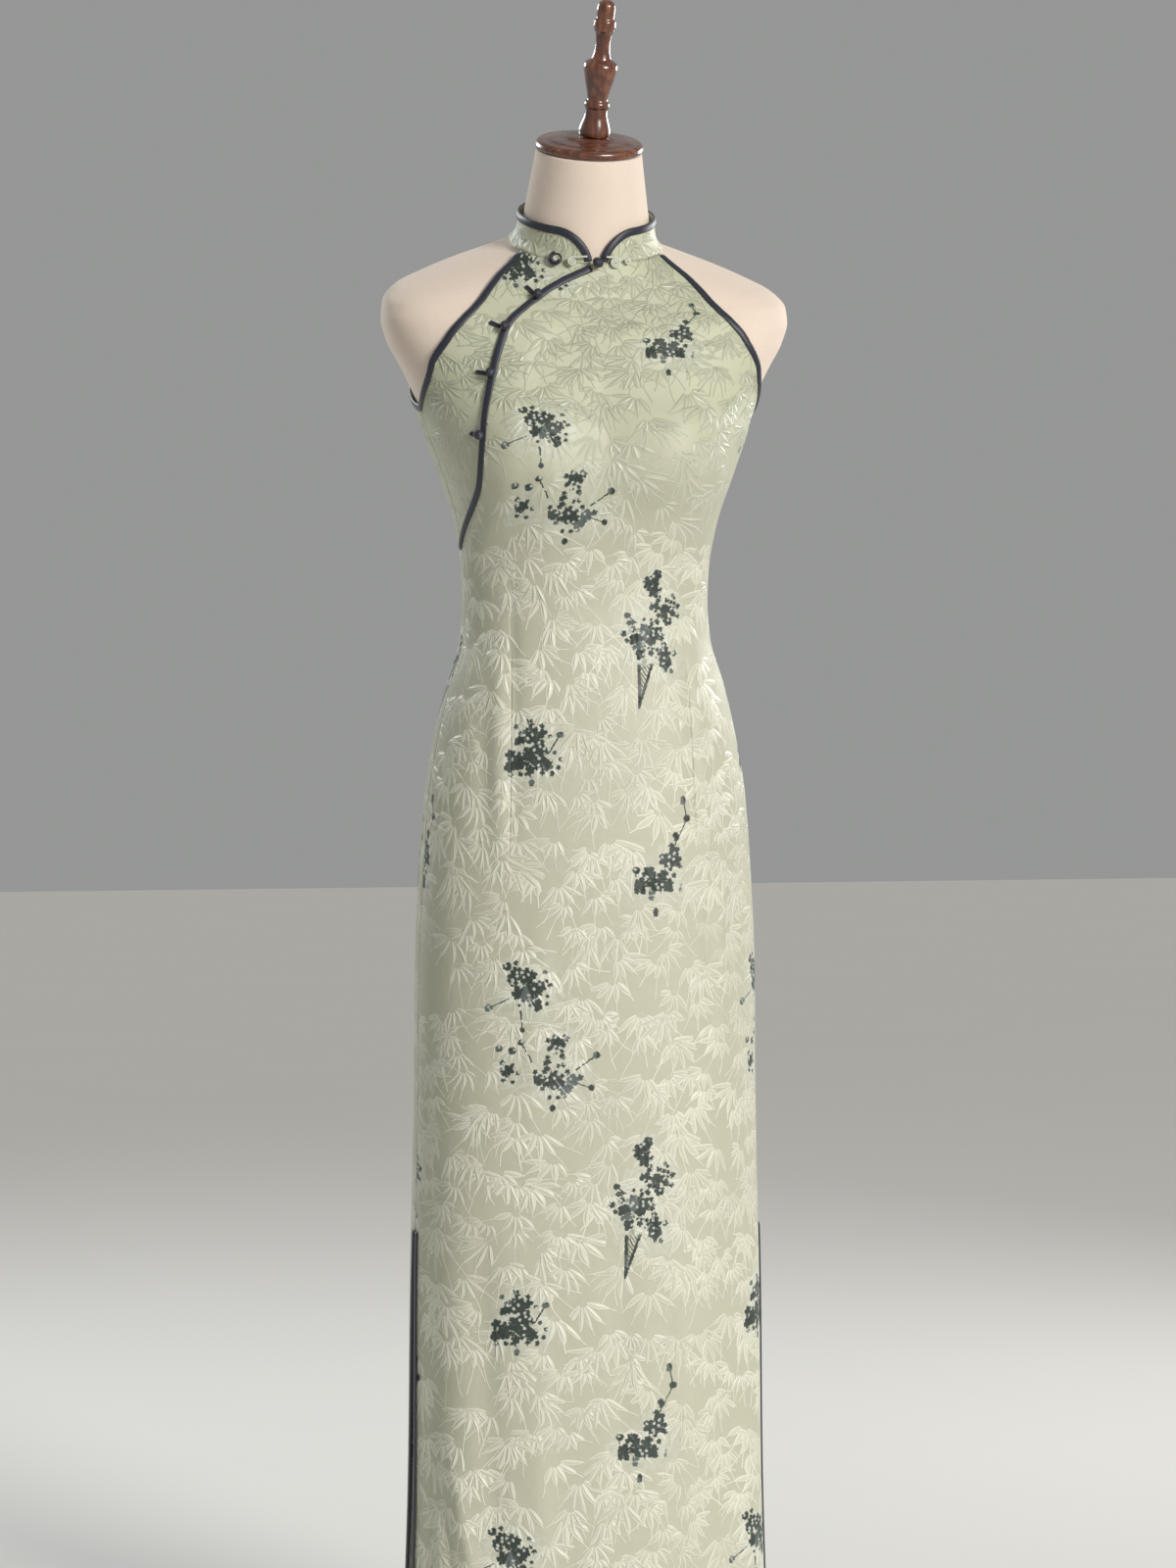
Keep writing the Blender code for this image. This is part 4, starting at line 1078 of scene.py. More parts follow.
@dataclass(frozen=True)
class Figure:
    """The form's rings and the skirt's below it."""

    foot: tuple[Ring, ...] = (
        Ring(FORM_BOTTOM, 0.1500, 0.1040, 0.1090, 2.28),
        Ring(FORM_BOTTOM + 0.004, 0.1565, 0.1100, 0.1155, 2.29),
        Ring(FORM_BOTTOM + 0.016, 0.1600, 0.1125, 0.1190, 2.30),
    )
    skirt: tuple[Ring, ...] = (
        Ring(HEM, 0.1745, 0.1070, 0.1110, 2.14),
        Ring(WAIST - 0.8360, 0.1700, 0.1070, 0.1120, 2.16),
        Ring(WAIST - 0.6460, 0.1675, 0.1080, 0.1135, 2.20),
        Ring(WAIST - 0.5510, 0.1650, 0.1095, 0.1155, 2.22),
        Ring(WAIST - 0.4560, 0.1630, 0.1115, 0.1180, 2.25),
        Ring(WAIST - 0.3610, 0.1622, 0.1130, 0.1205, 2.28),
    )
    body: tuple[Ring, ...] = (
        Ring(WAIST - 0.3135, 0.1608, 0.1135, 0.1215, 2.30),
        Ring(WAIST - 0.2660, 0.1583, 0.1140, 0.1255, 2.30),
        Ring(WAIST - 0.2290, 0.1560, 0.1130, 0.1260, 2.30),
        Ring(WAIST - 0.1814, 0.1522, 0.1110, 0.1205, 2.28),
        Ring(WAIST - 0.1280, 0.1436, 0.1070, 0.1085, 2.26),
        Ring(WAIST - 0.0760, 0.1317, 0.1000, 0.0955, 2.22),
        Ring(WAIST - 0.0285, 0.1180, 0.0910, 0.0865, 2.20),
        Ring(WAIST + 0.0050, 0.1156, 0.0865, 0.0835, 2.20),
        Ring(WAIST + 0.0350, 0.1165, 0.0885, 0.0840, 2.22),
        Ring(WAIST + 0.0800, 0.1230, 0.1000, 0.0900, 2.30),
        Ring(WAIST + 0.1330, 0.1393, 0.1160, 0.0985, 2.42),
        Ring(WAIST + 0.1620, 0.1500, 0.1160, 0.1015, 2.46),
        Ring(WAIST + 0.2000, 0.1630, 0.1060, 0.1035, 2.50),
        Ring(WAIST + 0.2300, 0.1775, 0.0980, 0.1020, 2.52),
        Ring(WAIST + 0.2560, 0.1915, 0.0890, 0.0990, 2.60),
        Ring(WAIST + 0.2770, 0.1970, 0.0820, 0.0940, 2.65, 0.08),
        Ring(WAIST + 0.2930, 0.1955, 0.0755, 0.0885, 2.60, 0.17),
        Ring(WAIST + 0.3055, 0.1855, 0.0705, 0.0835, 2.50, 0.25),
        Ring(WAIST + 0.3175, 0.1600, 0.0665, 0.0790, 2.40, 0.31, -0.0005),
        Ring(WAIST + 0.3275, 0.1330, 0.0630, 0.0750, 2.30, 0.36, -0.0010),
        Ring(WAIST + 0.3370, 0.1040, 0.0600, 0.0705, 2.20, 0.39, -0.0015),
        Ring(NECK_SEAM, 0.0720, 0.0570, 0.0665, 2.10, 0.40, -0.0020),
        Ring(WAIST + 0.3640, 0.0630, 0.0550, 0.0600, 2.03, 0.39, -0.0050),
        Ring(WAIST + 0.3850, 0.0595, 0.0530, 0.0560, 2.00, 0.37, -0.0090),
        Ring(WAIST + 0.4100, 0.0557, 0.0520, 0.0535, 2.00, 0.35, -0.0145),
        Ring(WAIST + 0.4300, 0.0527, 0.0510, 0.0518, 2.00, 0.34, -0.0195),
        Ring(NECK_TOP, 0.0507, 0.0500, 0.0502, 2.00, 0.335, -0.0225),
    )
    bust_height: float = WAIST + 0.140
    bust_from_centre: float = 0.080
    bust_depth: float = 0.019
    bust_spread: float = 0.041

    def table(self, dressed: bool) -> Array:
        """The rings as columns of numbers, the skirt's or the form's foot first."""
        rings = (self.skirt if dressed else self.foot) + self.body
        return np.array([astuple(ring) for ring in rings]).T

    def point(self, angle: Array, height: Array, dressed: bool = True) -> Array:
        """A point of the figure.

        Width times sine and depth times cosine, both over the root of order n of their n-th powers' sum,
        where n is the fullness; two Gaussian swells stand out at the bust.

        Args:
            angle: angle from the centre front.
            height: height of the ring at its centre.
            dressed: whether the rings below the form are the skirt's or the form's foot.

        Returns:
            The points, with 3 in a new last axis.
        """
        angle, height = np.broadcast_arrays(np.asarray(angle, float), np.asarray(height, float))
        heights, *sizes = self.table(dressed)
        sizes = [smooth_between(heights, size, height) for size in sizes]
        half_width, front, back, fullness, tilt, lean = sizes
        sin, cos = np.sin(angle), np.cos(angle)
        spread = (np.abs(sin) ** fullness + np.abs(cos) ** fullness) ** (1 / fullness)
        x = half_width * sin / spread
        y = lean - np.where(cos > 0, front, back) * cos / spread
        across = (np.abs(x) - self.bust_from_centre) / self.bust_spread
        upward = (height - self.bust_height) / self.bust_spread
        y = y - self.bust_depth * np.exp(-(across**2 + upward**2) / 2) * ramp(cos / 0.4)
        return np.stack([x, y, height + tilt * y], axis=-1)

    def normal(self, angle: Array, height: Array, dressed: bool = True) -> Array:
        """The outward normal: the cross product of the slopes round the ring and up the figure."""
        turn, rise = 0.004, 0.0008
        heights = self.table(dressed)[0]
        low, high = np.maximum(height - rise, heights[0]), np.minimum(height + rise, heights[-1])
        round_it = self.point(angle + turn, height, dressed) - self.point(angle - turn, height, dressed)
        up_it = self.point(angle, high, dressed) - self.point(angle, low, dressed)
        return unit(np.cross(round_it, up_it))


@dataclass(frozen=True)
class Cut:
    """The panels' edges and the way the cloth lies and folds on the figure."""

    figure: Figure = field(default_factory=Figure)
    ease: float = 0.0023
    cloth: float = 0.0010
    overlap_lift: float = 0.0025
    lift_full: float = 0.024
    lift_fade: float = 0.050
    overlap: float = 0.018
    seam_gap: float = 0.00025
    side_seam: float = math.radians(82)
    slit_half_gap: float = 0.0020
    slit_spread: float = 0.0050
    slit_ease: float = 0.010
    placket_turn: float = WAIST + 0.120
    flutes_start: float = WAIST - 0.300
    above_waist: float = 1.07  # cloth used for a metre of height above the waist, over the bust
    # the cloth leans back over the bust, so more of it fills each metre of height
    over_bust: float = 0.25
    over_bust_from: float = 0.155
    armhole: tuple[Edge, ...] = (
        Edge(ARMHOLE_BOTTOM, 0.1585), Edge(ARMHOLE_TURN, 0.1575), Edge(WAIST + 0.257, 0.1425),
        Edge(WAIST + 0.291, 0.1205), Edge(WAIST + 0.328, 0.0950), Edge(NECK_SEAM, 0.0655),
    )
    back_armhole: tuple[Edge, ...] = (
        Edge(ARMHOLE_BOTTOM, 0.1585), Edge(ARMHOLE_TURN, 0.1560), Edge(WAIST + 0.257, 0.1340),
        Edge(WAIST + 0.291, 0.1020), Edge(WAIST + 0.328, 0.0630), Edge(NECK_SEAM, 0.0440),
    )
    placket: tuple[Edge, ...] = (
        Edge(PLACKET_END, 0.1120), Edge(WAIST + 0.0855, 0.1125), Edge(WAIST + 0.1140, 0.1135),
        Edge(WAIST + 0.1425, 0.1134), Edge(WAIST + 0.1710, 0.1125), Edge(WAIST + 0.1995, 0.1085),
        Edge(WAIST + 0.2280, 0.1030), Edge(WAIST + 0.2470, 0.0975), Edge(WAIST + 0.2710, 0.0885),
        Edge(WAIST + 0.2920, 0.0740), Edge(WAIST + 0.3130, 0.0570), Edge(WAIST + 0.3320, 0.0335),
        Edge(NECK_SEAM, 0.0),
    )
    flutes: tuple[Flute, ...] = (
        Flute(-66, 8, -0.0040), Flute(-44, 11, 0.0030), Flute(-12, 15, -0.0025), Flute(24, 13, 0.0025),
        Flute(47, 9, -0.0035), Flute(65, 9, 0.0030), Flute(112, 12, -0.0045), Flute(140, 13, 0.0050),
        Flute(170, 13, -0.0045), Flute(203, 13, 0.0050), Flute(236, 12, -0.0045),
    )
    creases: tuple[Crease, ...] = (
        # the long darts' lips and the soft folds that run on below them
        Crease(Side.FRONT, (-0.079, WAIST + 0.070), (-0.086, WAIST - 0.270), 0.0055, -0.0016),
        Crease(Side.FRONT, (-0.094, WAIST + 0.000), (-0.098, WAIST - 0.260), 0.0070, 0.0024),
        Crease(Side.FRONT, (-0.109, WAIST - 0.080), (-0.112, WAIST - 0.250), 0.0070, -0.0015),
        Crease(Side.FRONT, (0.079, WAIST + 0.070), (0.090, WAIST - 0.250), 0.0055, -0.0016),
        Crease(Side.FRONT, (0.092, WAIST + 0.000), (0.104, WAIST - 0.300), 0.0075, 0.0016),
        # the wearer's left hip
        Crease(Side.FRONT, (0.101, WAIST - 0.230), (0.104, WAIST - 0.440), 0.0060, -0.0017),
        Crease(Side.FRONT, (0.126, WAIST - 0.250), (0.130, WAIST - 0.430), 0.0060, -0.0017),
        Crease(Side.FRONT, (0.113, WAIST - 0.220), (0.118, WAIST - 0.500), 0.0060, 0.0020),
        # long soft folds of the skirt
        Crease(Side.FRONT, (-0.060, WAIST - 0.240), (-0.072, WAIST - 0.560), 0.0120, 0.0014),
        Crease(Side.FRONT, (-0.118, WAIST - 0.540), (-0.100, WAIST - 0.985), 0.0150, -0.0040),
        Crease(Side.FRONT, (-0.066, WAIST - 0.660), (-0.058, WAIST - 0.985), 0.0140, 0.0022),
        Crease(Side.FRONT, (-0.142, WAIST - 0.780), (-0.112, WAIST - 0.985), 0.0060, 0.0026),
        Crease(Side.FRONT, (-0.152, WAIST - 0.830), (-0.131, WAIST - 0.985), 0.0050, -0.0022),
        Crease(Side.FRONT, (0.012, WAIST - 0.520), (0.020, WAIST - 0.930), 0.0150, -0.0016),
        Crease(Side.FRONT, (0.074, WAIST - 0.560), (0.088, WAIST - 0.985), 0.0130, 0.0024),
        # pulls at the waist and under the bust
        Crease(Side.FRONT, (-0.098, WAIST + 0.030), (-0.040, WAIST - 0.012), 0.0060, -0.0010),
        Crease(Side.FRONT, (0.102, WAIST + 0.024), (0.048, WAIST - 0.016), 0.0060, -0.0010),
        Crease(Side.FRONT, (0.112, WAIST + 0.165), (0.060, WAIST + 0.100), 0.0090, -0.0009),
        Crease(Side.FRONT, (-0.010, WAIST + 0.250), (0.012, WAIST + 0.090), 0.0160, -0.0012),
        # the hidden back: darts, waist and skirt
        Crease(Side.BACK, (-0.062, WAIST + 0.120), (-0.066, WAIST - 0.150), 0.0055, -0.0016),
        Crease(Side.BACK, (0.062, WAIST + 0.120), (0.066, WAIST - 0.150), 0.0055, -0.0016),
        Crease(Side.BACK, (-0.100, WAIST + 0.028), (-0.030, WAIST - 0.006), 0.0060, -0.0010),
        Crease(Side.BACK, (0.096, WAIST + 0.022), (0.034, WAIST - 0.018), 0.0070, -0.0011),
        Crease(Side.BACK, (-0.070, WAIST - 0.330), (-0.092, WAIST - 0.880), 0.0130, -0.0030),
        Crease(Side.BACK, (0.050, WAIST - 0.300), (0.082, WAIST - 0.820), 0.0140, -0.0028),
        Crease(Side.BACK, (0.004, WAIST - 0.280), (-0.020, WAIST - 0.985), 0.0150, 0.0026),
        Crease(Side.BACK, (0.122, WAIST - 0.640), (0.112, WAIST - 0.985), 0.0100, 0.0026),
        Crease(Side.BACK, (-0.030, WAIST - 0.600), (-0.044, WAIST - 0.985), 0.0090, -0.0018),
    )

    def flute_depth(self, angle: Array, height: Array) -> Array:
        """How far the skirt's upright folds move the cloth out: Gaussians that grow downward."""
        depth = np.zeros(np.broadcast(angle, height).shape)
        for flute in self.flutes:
            away = (np.degrees(angle) - flute.angle_deg + 180) % 360 - 180
            depth = depth + flute.depth * np.exp(-((away / flute.width_deg) ** 2))
        return depth * ramp((self.flutes_start - height) / (self.flutes_start - HEM))

    def crease_depth(self, angle: Array, height: Array) -> Array:
        """How far the creases move the cloth out: a Gaussian across each line, faded at its ends."""
        width = self.figure.point(angle, height)[..., 0]
        facing = np.cos(angle)
        depth = np.zeros(width.shape)
        for crease in self.creases:
            run = np.subtract(crease.end, crease.start)
            length = math.hypot(*run)
            right, over = width - crease.start[0], height - crease.start[1]
            along = (right * run[0] + over * run[1]) / length**2
            across = (right * run[1] - over * run[0]) / length
            fade = ramp(along / 0.35) * ramp((1 - along) / 0.35) * ramp(facing * crease.side.value / 0.2)
            depth = depth + crease.depth * fade * np.exp(-((across / crease.width) ** 2))
        return depth

    def on_cloth(self, angle: Array, height: Array, out: Array) -> Array:
        """A point that lies out from the figure's ring, moved by the folds."""
        angle, height = np.broadcast_arrays(np.asarray(angle, float), np.asarray(height, float))
        far = np.asarray(out) + self.flute_depth(angle, height) + self.crease_depth(angle, height)
        return self.figure.point(angle, height) + far[..., None] * self.figure.normal(angle, height)

    def angle_at(self, from_centre: Array, height: Array) -> Array:
        """The front angle at which the ring of that height lies that far from the centre line."""
        turn = np.radians(np.linspace(0, 90, 721))
        x = self.figure.point(turn[None], np.asarray(height, float)[:, None])[..., 0]
        after = np.clip((x < np.asarray(from_centre)[:, None]).sum(axis=1), 1, len(turn) - 1)
        rows = np.arange(len(after))
        low, high = x[rows, after - 1], x[rows, after]
        share = np.clip((from_centre - low) / np.maximum(high - low, 1e-12), 0.0, 1.0)
        return turn[after - 1] + share * (turn[1] - turn[0])

    def metres_per_radian(self, angle: Array, height: Array) -> Array:
        """Length of cloth that a turn of one radian covers there."""
        turn = 0.01
        span = self.figure.point(angle + turn, height) - self.figure.point(angle - turn, height)
        return np.linalg.norm(span, axis=-1) / (2 * turn)

    def edge_width(self, edges: Sequence[Edge], height: Array) -> Array:
        """An edge table's distance from the centre line at each height."""
        heights, widths = np.array([astuple(edge) for edge in edges]).T
        return smooth_between(heights, widths, height)

    def side_angle(self, height: Array, seam: float, edges: Sequence[Edge]) -> Array:
        """A panel's side edge from its own centre: the slit, the side seam and then the rounded armhole."""
        drop = (SLIT_TOP - height) / (SLIT_TOP - HEM)
        parted = self.slit_half_gap * ramp((SLIT_TOP - height) / self.slit_ease)
        parted = parted + self.slit_spread * np.clip(drop, 0, 1)
        short = (self.seam_gap + parted) / self.metres_per_radian(np.float64(self.side_seam), height)
        by_width = self.angle_at(self.edge_width(edges, height), height)
        share = np.clip((ARMHOLE_TURN - height) / (ARMHOLE_TURN - ARMHOLE_BOTTOM), 0, 1)
        armhole = by_width + (seam - short - by_width) * (1 - np.sqrt(1 - share**2))
        return np.where(height < ARMHOLE_BOTTOM, seam - short, armhole)

    def front_angle(self, height: Array) -> Array:
        """The front's side edge, from the centre front."""
        return self.side_angle(height, self.side_seam, self.armhole)

    def back_angle(self, height: Array) -> Array:
        """The back's side edge, from the centre back."""
        return self.side_angle(height, math.pi - self.side_seam, self.back_armhole)

    def placket_angle(self, height: Array) -> Array:
        """The slanting edge of the front, from the side seam up to the centre front (negative angles)."""
        by_width = self.angle_at(self.edge_width(self.placket, height), height)
        share = np.clip((self.placket_turn - height) / (self.placket_turn - PLACKET_END), 0, 1)
        return -(by_width + (self.front_angle(height) - by_width) * share**2)

    def front_left_edge(self, height: Array) -> Array:
        """The front's edge at the wearer's right: the side seam, and the placket above it."""
        return np.where(height < PLACKET_END, -self.front_angle(height), self.placket_angle(height))

    def front_point(self, angle: Array, height: Array, out: float = 0.0) -> Array:
        """A point of the front's inner face, moved out; it rides up near the slanting edge."""
        edge_height = np.linspace(PLACKET_END, NECK_SEAM, 60)
        edge = self.figure.point(self.placket_angle(edge_height), edge_height)
        here = self.figure.point(angle, height)
        away = np.full(here.shape[:-1], self.lift_fade)
        for low in range(0, len(edge), 15):
            near = np.linalg.norm(here[..., None, :] - edge[low:low + 15], axis=-1).min(axis=-1)
            away = np.minimum(away, near)
        lift = self.overlap_lift * ramp((self.lift_fade - away) / (self.lift_fade - self.lift_full))
        return self.on_cloth(angle, height, self.ease + lift + out)

    def plain_point(self, angle: Array, height: Array, out: float = 0.0) -> Array:
        """A point of the inner face of a panel that lies straight on the form, moved out."""
        return self.on_cloth(angle, height, self.ease + out)

    def unrolled(self, angle: Array, height: Array, centre: float) -> Array:
        """The cloth's own measure: metres round the ring from the centre line, and up from the waist.

        Args:
            angle: angles of a grid.
            height: its heights, one to a row.
            centre: the angle of the panel's centre line.

        Returns:
            The UV of the grid.
        """
        turn = centre + np.radians(np.linspace(-110, 110, 441))
        ring = self.figure.point(turn[None], height[:, :1])
        run = np.linalg.norm(np.diff(ring, axis=1), axis=-1)
        run = np.concatenate([np.zeros((len(run), 1)), np.cumsum(run, axis=1)], axis=1)
        run = run - run[:, 220:221]
        place = np.clip((angle - turn[0]) / (turn[1] - turn[0]), 0, 439.999)
        low = place.astype(int)
        left, right = np.take_along_axis(run, low, 1), np.take_along_axis(run, low + 1, 1)
        across = left + (right - left) * (place - low)
        rise = height - WAIST
        steeper = self.over_bust * np.maximum(rise - self.over_bust_from, 0.0)
        return np.stack([across, WAIST + rise * np.where(rise > 0, self.above_waist, 1.0) + steeper], axis=-1)


# ------------------------------------------------------------
# The dress


@dataclass
class Panels:
    """The front, the narrow under-front at the wearer's right, and the back."""

    cut: Cut
    silk: bpy.types.Material
    front_columns: int = 116
    back_columns: int = 108
    under_columns: int = 26
    step: float = 0.0044
    shoulder_step: float = 0.0022
    round_rows: int = 9
    # how far the design on the under-front and the back is moved from the front's, round and up
    under_shift: tuple[float, float] = (0.022, -0.012)
    back_shift: tuple[float, float] = (0.118, 0.021)

    def heights(self, bottom: float) -> Array:
        """Heights of a panel's rows, closer together over the armhole's round and the shoulders."""
        low = [stop for stop in (HEM, SLIT_PARTED, SLIT_TOP, PLACKET_END) if stop > bottom]
        middle = [PLACKET_END, ARMHOLE_BOTTOM] if bottom < PLACKET_END else [bottom, ARMHOLE_BOTTOM]
        body = spaced(sorted({bottom, *low, *middle}), self.step)
        top = spaced((ARMHOLE_TURN, SHOULDER), self.step)[1:]
        shoulder = spaced((SHOULDER, NECK_SEAM), self.shoulder_step)[1:]
        return np.concatenate([body, armhole_round(self.round_rows)[1:], top, shoulder])

    def panel(self, name: str, bottom: float, columns: int, edges: tuple[EdgeRule, EdgeRule],
              point: PointRule, centre: float, shift: tuple[float, float] = (0.0, 0.0)) -> bpy.types.Object:
        """A panel whose rows run from its left edge to its right edge at each height.

        Args:
            name: the piece's name.
            bottom: height of its lowest row.
            columns: quads in a row.
            edges: the angles of its left and right edges by height.
            point: the surface it lies on.
            centre: the angle of its centre line.
            shift: how far the cloth's design is moved, round and up.

        Returns:
            The panel, a thin closed shell.
        """
        heights = self.heights(bottom)
        left, right = (edge(heights)[:, None] for edge in edges)
        angle = left + (right - left) * np.linspace(0, 1, columns + 1)
        height = np.broadcast_to(heights[:, None], angle.shape)
        grid = point(angle, height), self.cut.unrolled(angle, height, centre) + shift
        return cloth_piece(name, grid, self.silk, self.cut.cloth, name.removesuffix("_silk"))

    def hidden_edge(self, height: Array) -> Array:
        """The under-front's edge below the front: the whole overlap in at the side, a quarter at the neck."""
        reach = self.cut.overlap * (1 - 0.75 * ramp((height - WAIST - 0.25) / 0.10))
        covered = self.cut.placket_angle(np.maximum(height, PLACKET_END))
        return covered + reach / self.cut.metres_per_radian(covered, height)

    def build(self) -> dict[str, bpy.types.Object]:
        """Makes the three panels."""
        cut = self.cut
        front = self.panel("front_silk", HEM, self.front_columns, (cut.front_left_edge, cut.front_angle),
                           cut.front_point, 0.0)
        under = self.panel("under_front_silk", PLACKET_END - 0.015, self.under_columns,
                           (lambda height: -cut.front_angle(height), self.hidden_edge), cut.plain_point, 0.0,
                           self.under_shift)
        back = self.panel("back_silk", HEM, self.back_columns,
                          (lambda height: math.pi - cut.back_angle(height),
                           lambda height: math.pi + cut.back_angle(height)),
                          cut.plain_point, math.pi, self.back_shift)
        return {"front": front, "under_front": under, "back": back}


@dataclass
class Bindings:
    """The folded satin strips over the cut edges."""

    cut: Cut
    satin: bpy.types.Material
    step: float = 0.004
    shoulder_step: float = 0.002
    placket_step: float = 0.0035
    placket_shoulder_step: float = 0.0018
    slit_step: float = 0.006
    slit_round: float = 0.15  # height over which a slit's rows start from the hem
    hem_points: int = 110
    round_rows: int = 12
    # the strip's section: towards the cloth from its cut edge, and out from its inner face
    section: tuple[tuple[float, float], ...] = (
        (0.00600, 0.00130), (0.00618, 0.00160), (0.00590, 0.00205), (0.00520, 0.00245), (0.00420, 0.00268),
        (0.00300, 0.00278), (0.00180, 0.00276), (0.00070, 0.00260), (-0.00030, 0.00225), (-0.00100, 0.00170),
        (-0.00135, 0.00105), (-0.00130, 0.00045), (-0.00095, 0.00005), (-0.00062, 0.00012),
        (-0.00048, 0.00060), (-0.00044, 0.00112), (-0.00015, 0.00128),
    )

    def strip(self, name: str, angle: Array, height: Array, point: PointRule, side: int,
              node: str) -> bpy.types.Object:
        """Carries the section along an edge.

        Each ring is the edge's point plus the section's first number along the direction into the cloth,
        which is the cross product of the normal and the way ahead, and its second along the normal.

        Args:
            name: the piece's name.
            angle: angles of the edge's points.
            height: heights of the edge's points.
            point: the surface the edge lies on.
            side: +1 or -1, the side of the way ahead on which the cloth lies.
            node: the CAD node it stands for.

        Returns:
            The strip, closed at both ends.
        """
        path = point(angle, height)
        normals = self.cut.figure.normal(angle, height)
        ahead = unit(np.diff(path, axis=0))
        before, after = np.vstack([ahead[:1], ahead]), np.vstack([ahead, ahead[-1:]])
        inward = [unit(side * np.cross(normals, way)) for way in (before, after)]
        inward = (inward[0] + inward[1]) / (1 + (inward[0] * inward[1]).sum(axis=1, keepdims=True))
        section = np.array(self.section)
        deep, out = section[None, :, :1], section[None, :, 1:]
        rings = path[:, None] + deep * inward[:, None] + out * normals[:, None]
        around = distance_along(np.vstack([section, section[:1]]))
        uv = grid_of(around[None], distance_along(path)[:, None])
        return closed_piece(name, (rings, uv), self.satin, node)

    def armhole(self, name: str, side: int, node: str) -> bpy.types.Object:
        """Round one armhole: down the front's edge from the collar, then up the back's edge."""
        rows = np.concatenate([armhole_round(self.round_rows)[:-1],
                               spaced((ARMHOLE_TURN, SHOULDER), self.step),
                               spaced((SHOULDER, BINDING_STOP), self.shoulder_step)[1:]])
        front = self.cut.front_angle(rows)[::-1]
        angle = side * np.concatenate([front, math.pi - self.cut.back_angle(rows)])
        return self.strip(name, angle, np.concatenate([rows[::-1], rows]), self.cut.plain_point, -side, node)

    def hem(self, name: str, edge: EdgeRule, centre: float, point: PointRule, node: str) -> bpy.types.Object:
        """Down one slit, along the hem and up the other slit of a panel."""
        slit = spaced((HEM, HEM + self.slit_round, SLIT_PARTED), self.slit_step)[::-1]
        sides = edge(slit)
        along = np.linspace(-sides[-1], sides[-1], self.hem_points)[1:-1]
        angle = centre + np.concatenate([-sides, along, sides[::-1]])
        height = np.concatenate([slit, np.full_like(along, HEM), slit[::-1]])
        return self.strip(name, angle, height, point, 1, node)

    def build(self) -> dict[str, bpy.types.Object]:
        """Makes the five strips on the panels."""
        cut = self.cut
        rows = np.concatenate([spaced((PLACKET_END, SHOULDER), self.placket_step),
                               spaced((SHOULDER, BINDING_STOP), self.placket_shoulder_step)[1:]])
        return {
            "placket": self.strip("placket_strip", cut.placket_angle(rows), rows, cut.front_point, -1,
                                  "placket_binding"),
            "left": self.armhole("armhole_strip_left", 1, "armhole_binding_left"),
            "right": self.armhole("armhole_strip_right", -1, "armhole_binding_right"),
            "front_hem": self.hem("front_hem_strip", cut.front_angle, 0.0, cut.front_point,
                                  "front_hem_binding"),
            "back_hem": self.hem("back_hem_strip", cut.back_angle, math.pi, cut.plain_point,
                                 "back_hem_binding"),
        }


@dataclass
class Collar:
    """The stand collar and the strip over its upper edge."""

    cut: Cut
    bindings: Bindings
    silk: bpy.types.Material
    height: float = 0.0305
    least: float = 0.0025
    gap: float = 0.0003
    end: float = math.radians(4.2)
    round_to: float = math.radians(34)
    stand: float = 0.0018
    rows: int = 12
    design_shift: float = 0.232  # brings a stretch without clusters to the collar

    def angles(self) -> Array:
        """Angles from its right end round the back to its left end, closer together at the rounded ends."""
        end = self.end + (self.round_to - self.end) * np.linspace(0, 1, 29) ** 1.6
        middle = np.linspace(self.round_to, 2 * math.pi - self.round_to, 130)[1:-1]
        return np.concatenate([end, middle, 2 * math.pi - end[::-1]])

    def top(self, angle: Array) -> Array:
        """Ring height of its upper edge, which rounds down to its two ends at the front."""
        from_end = np.minimum(angle, 2 * math.pi - angle) - self.end
        share = np.clip(from_end / (self.round_to - self.end), 0, 1)
        rise = (1 - (1 - share) ** 2) ** 0.65
        return NECK_SEAM + self.gap + self.least + (self.height - self.least) * rise

    def point(self, angle: Array, height: Array, out: float = 0.0) -> Array:
        """A point of its inner face: it stands away from the neck towards its upper edge."""
        away = self.cut.ease + self.stand * ramp((height - NECK_SEAM) / self.height) + out
        return self.cut.figure.point(angle, height) + away[..., None] * self.cut.figure.normal(angle, height)

    def build(self) -> dict[str, bpy.types.Object]:
        """Makes the collar and its strip."""
        angle = self.angles()
        bottom = NECK_SEAM + self.gap
        height = bottom + (self.top(angle) - bottom) * np.linspace(0, 1, self.rows)[:, None]
        wide = np.broadcast_to(angle, height.shape)
        points = self.point(wide, height)
        run = distance_along(points[0])
        grid = points, grid_of(run - run[-1] / 2, height + self.design_shift)
        collar = cloth_piece("collar_silk", grid, self.silk, self.cut.cloth, "collar")
        strip = self.bindings.strip("collar_strip", angle, self.top(angle), self.point, -1, "collar_binding")
        return {"collar": collar, "strip": strip}


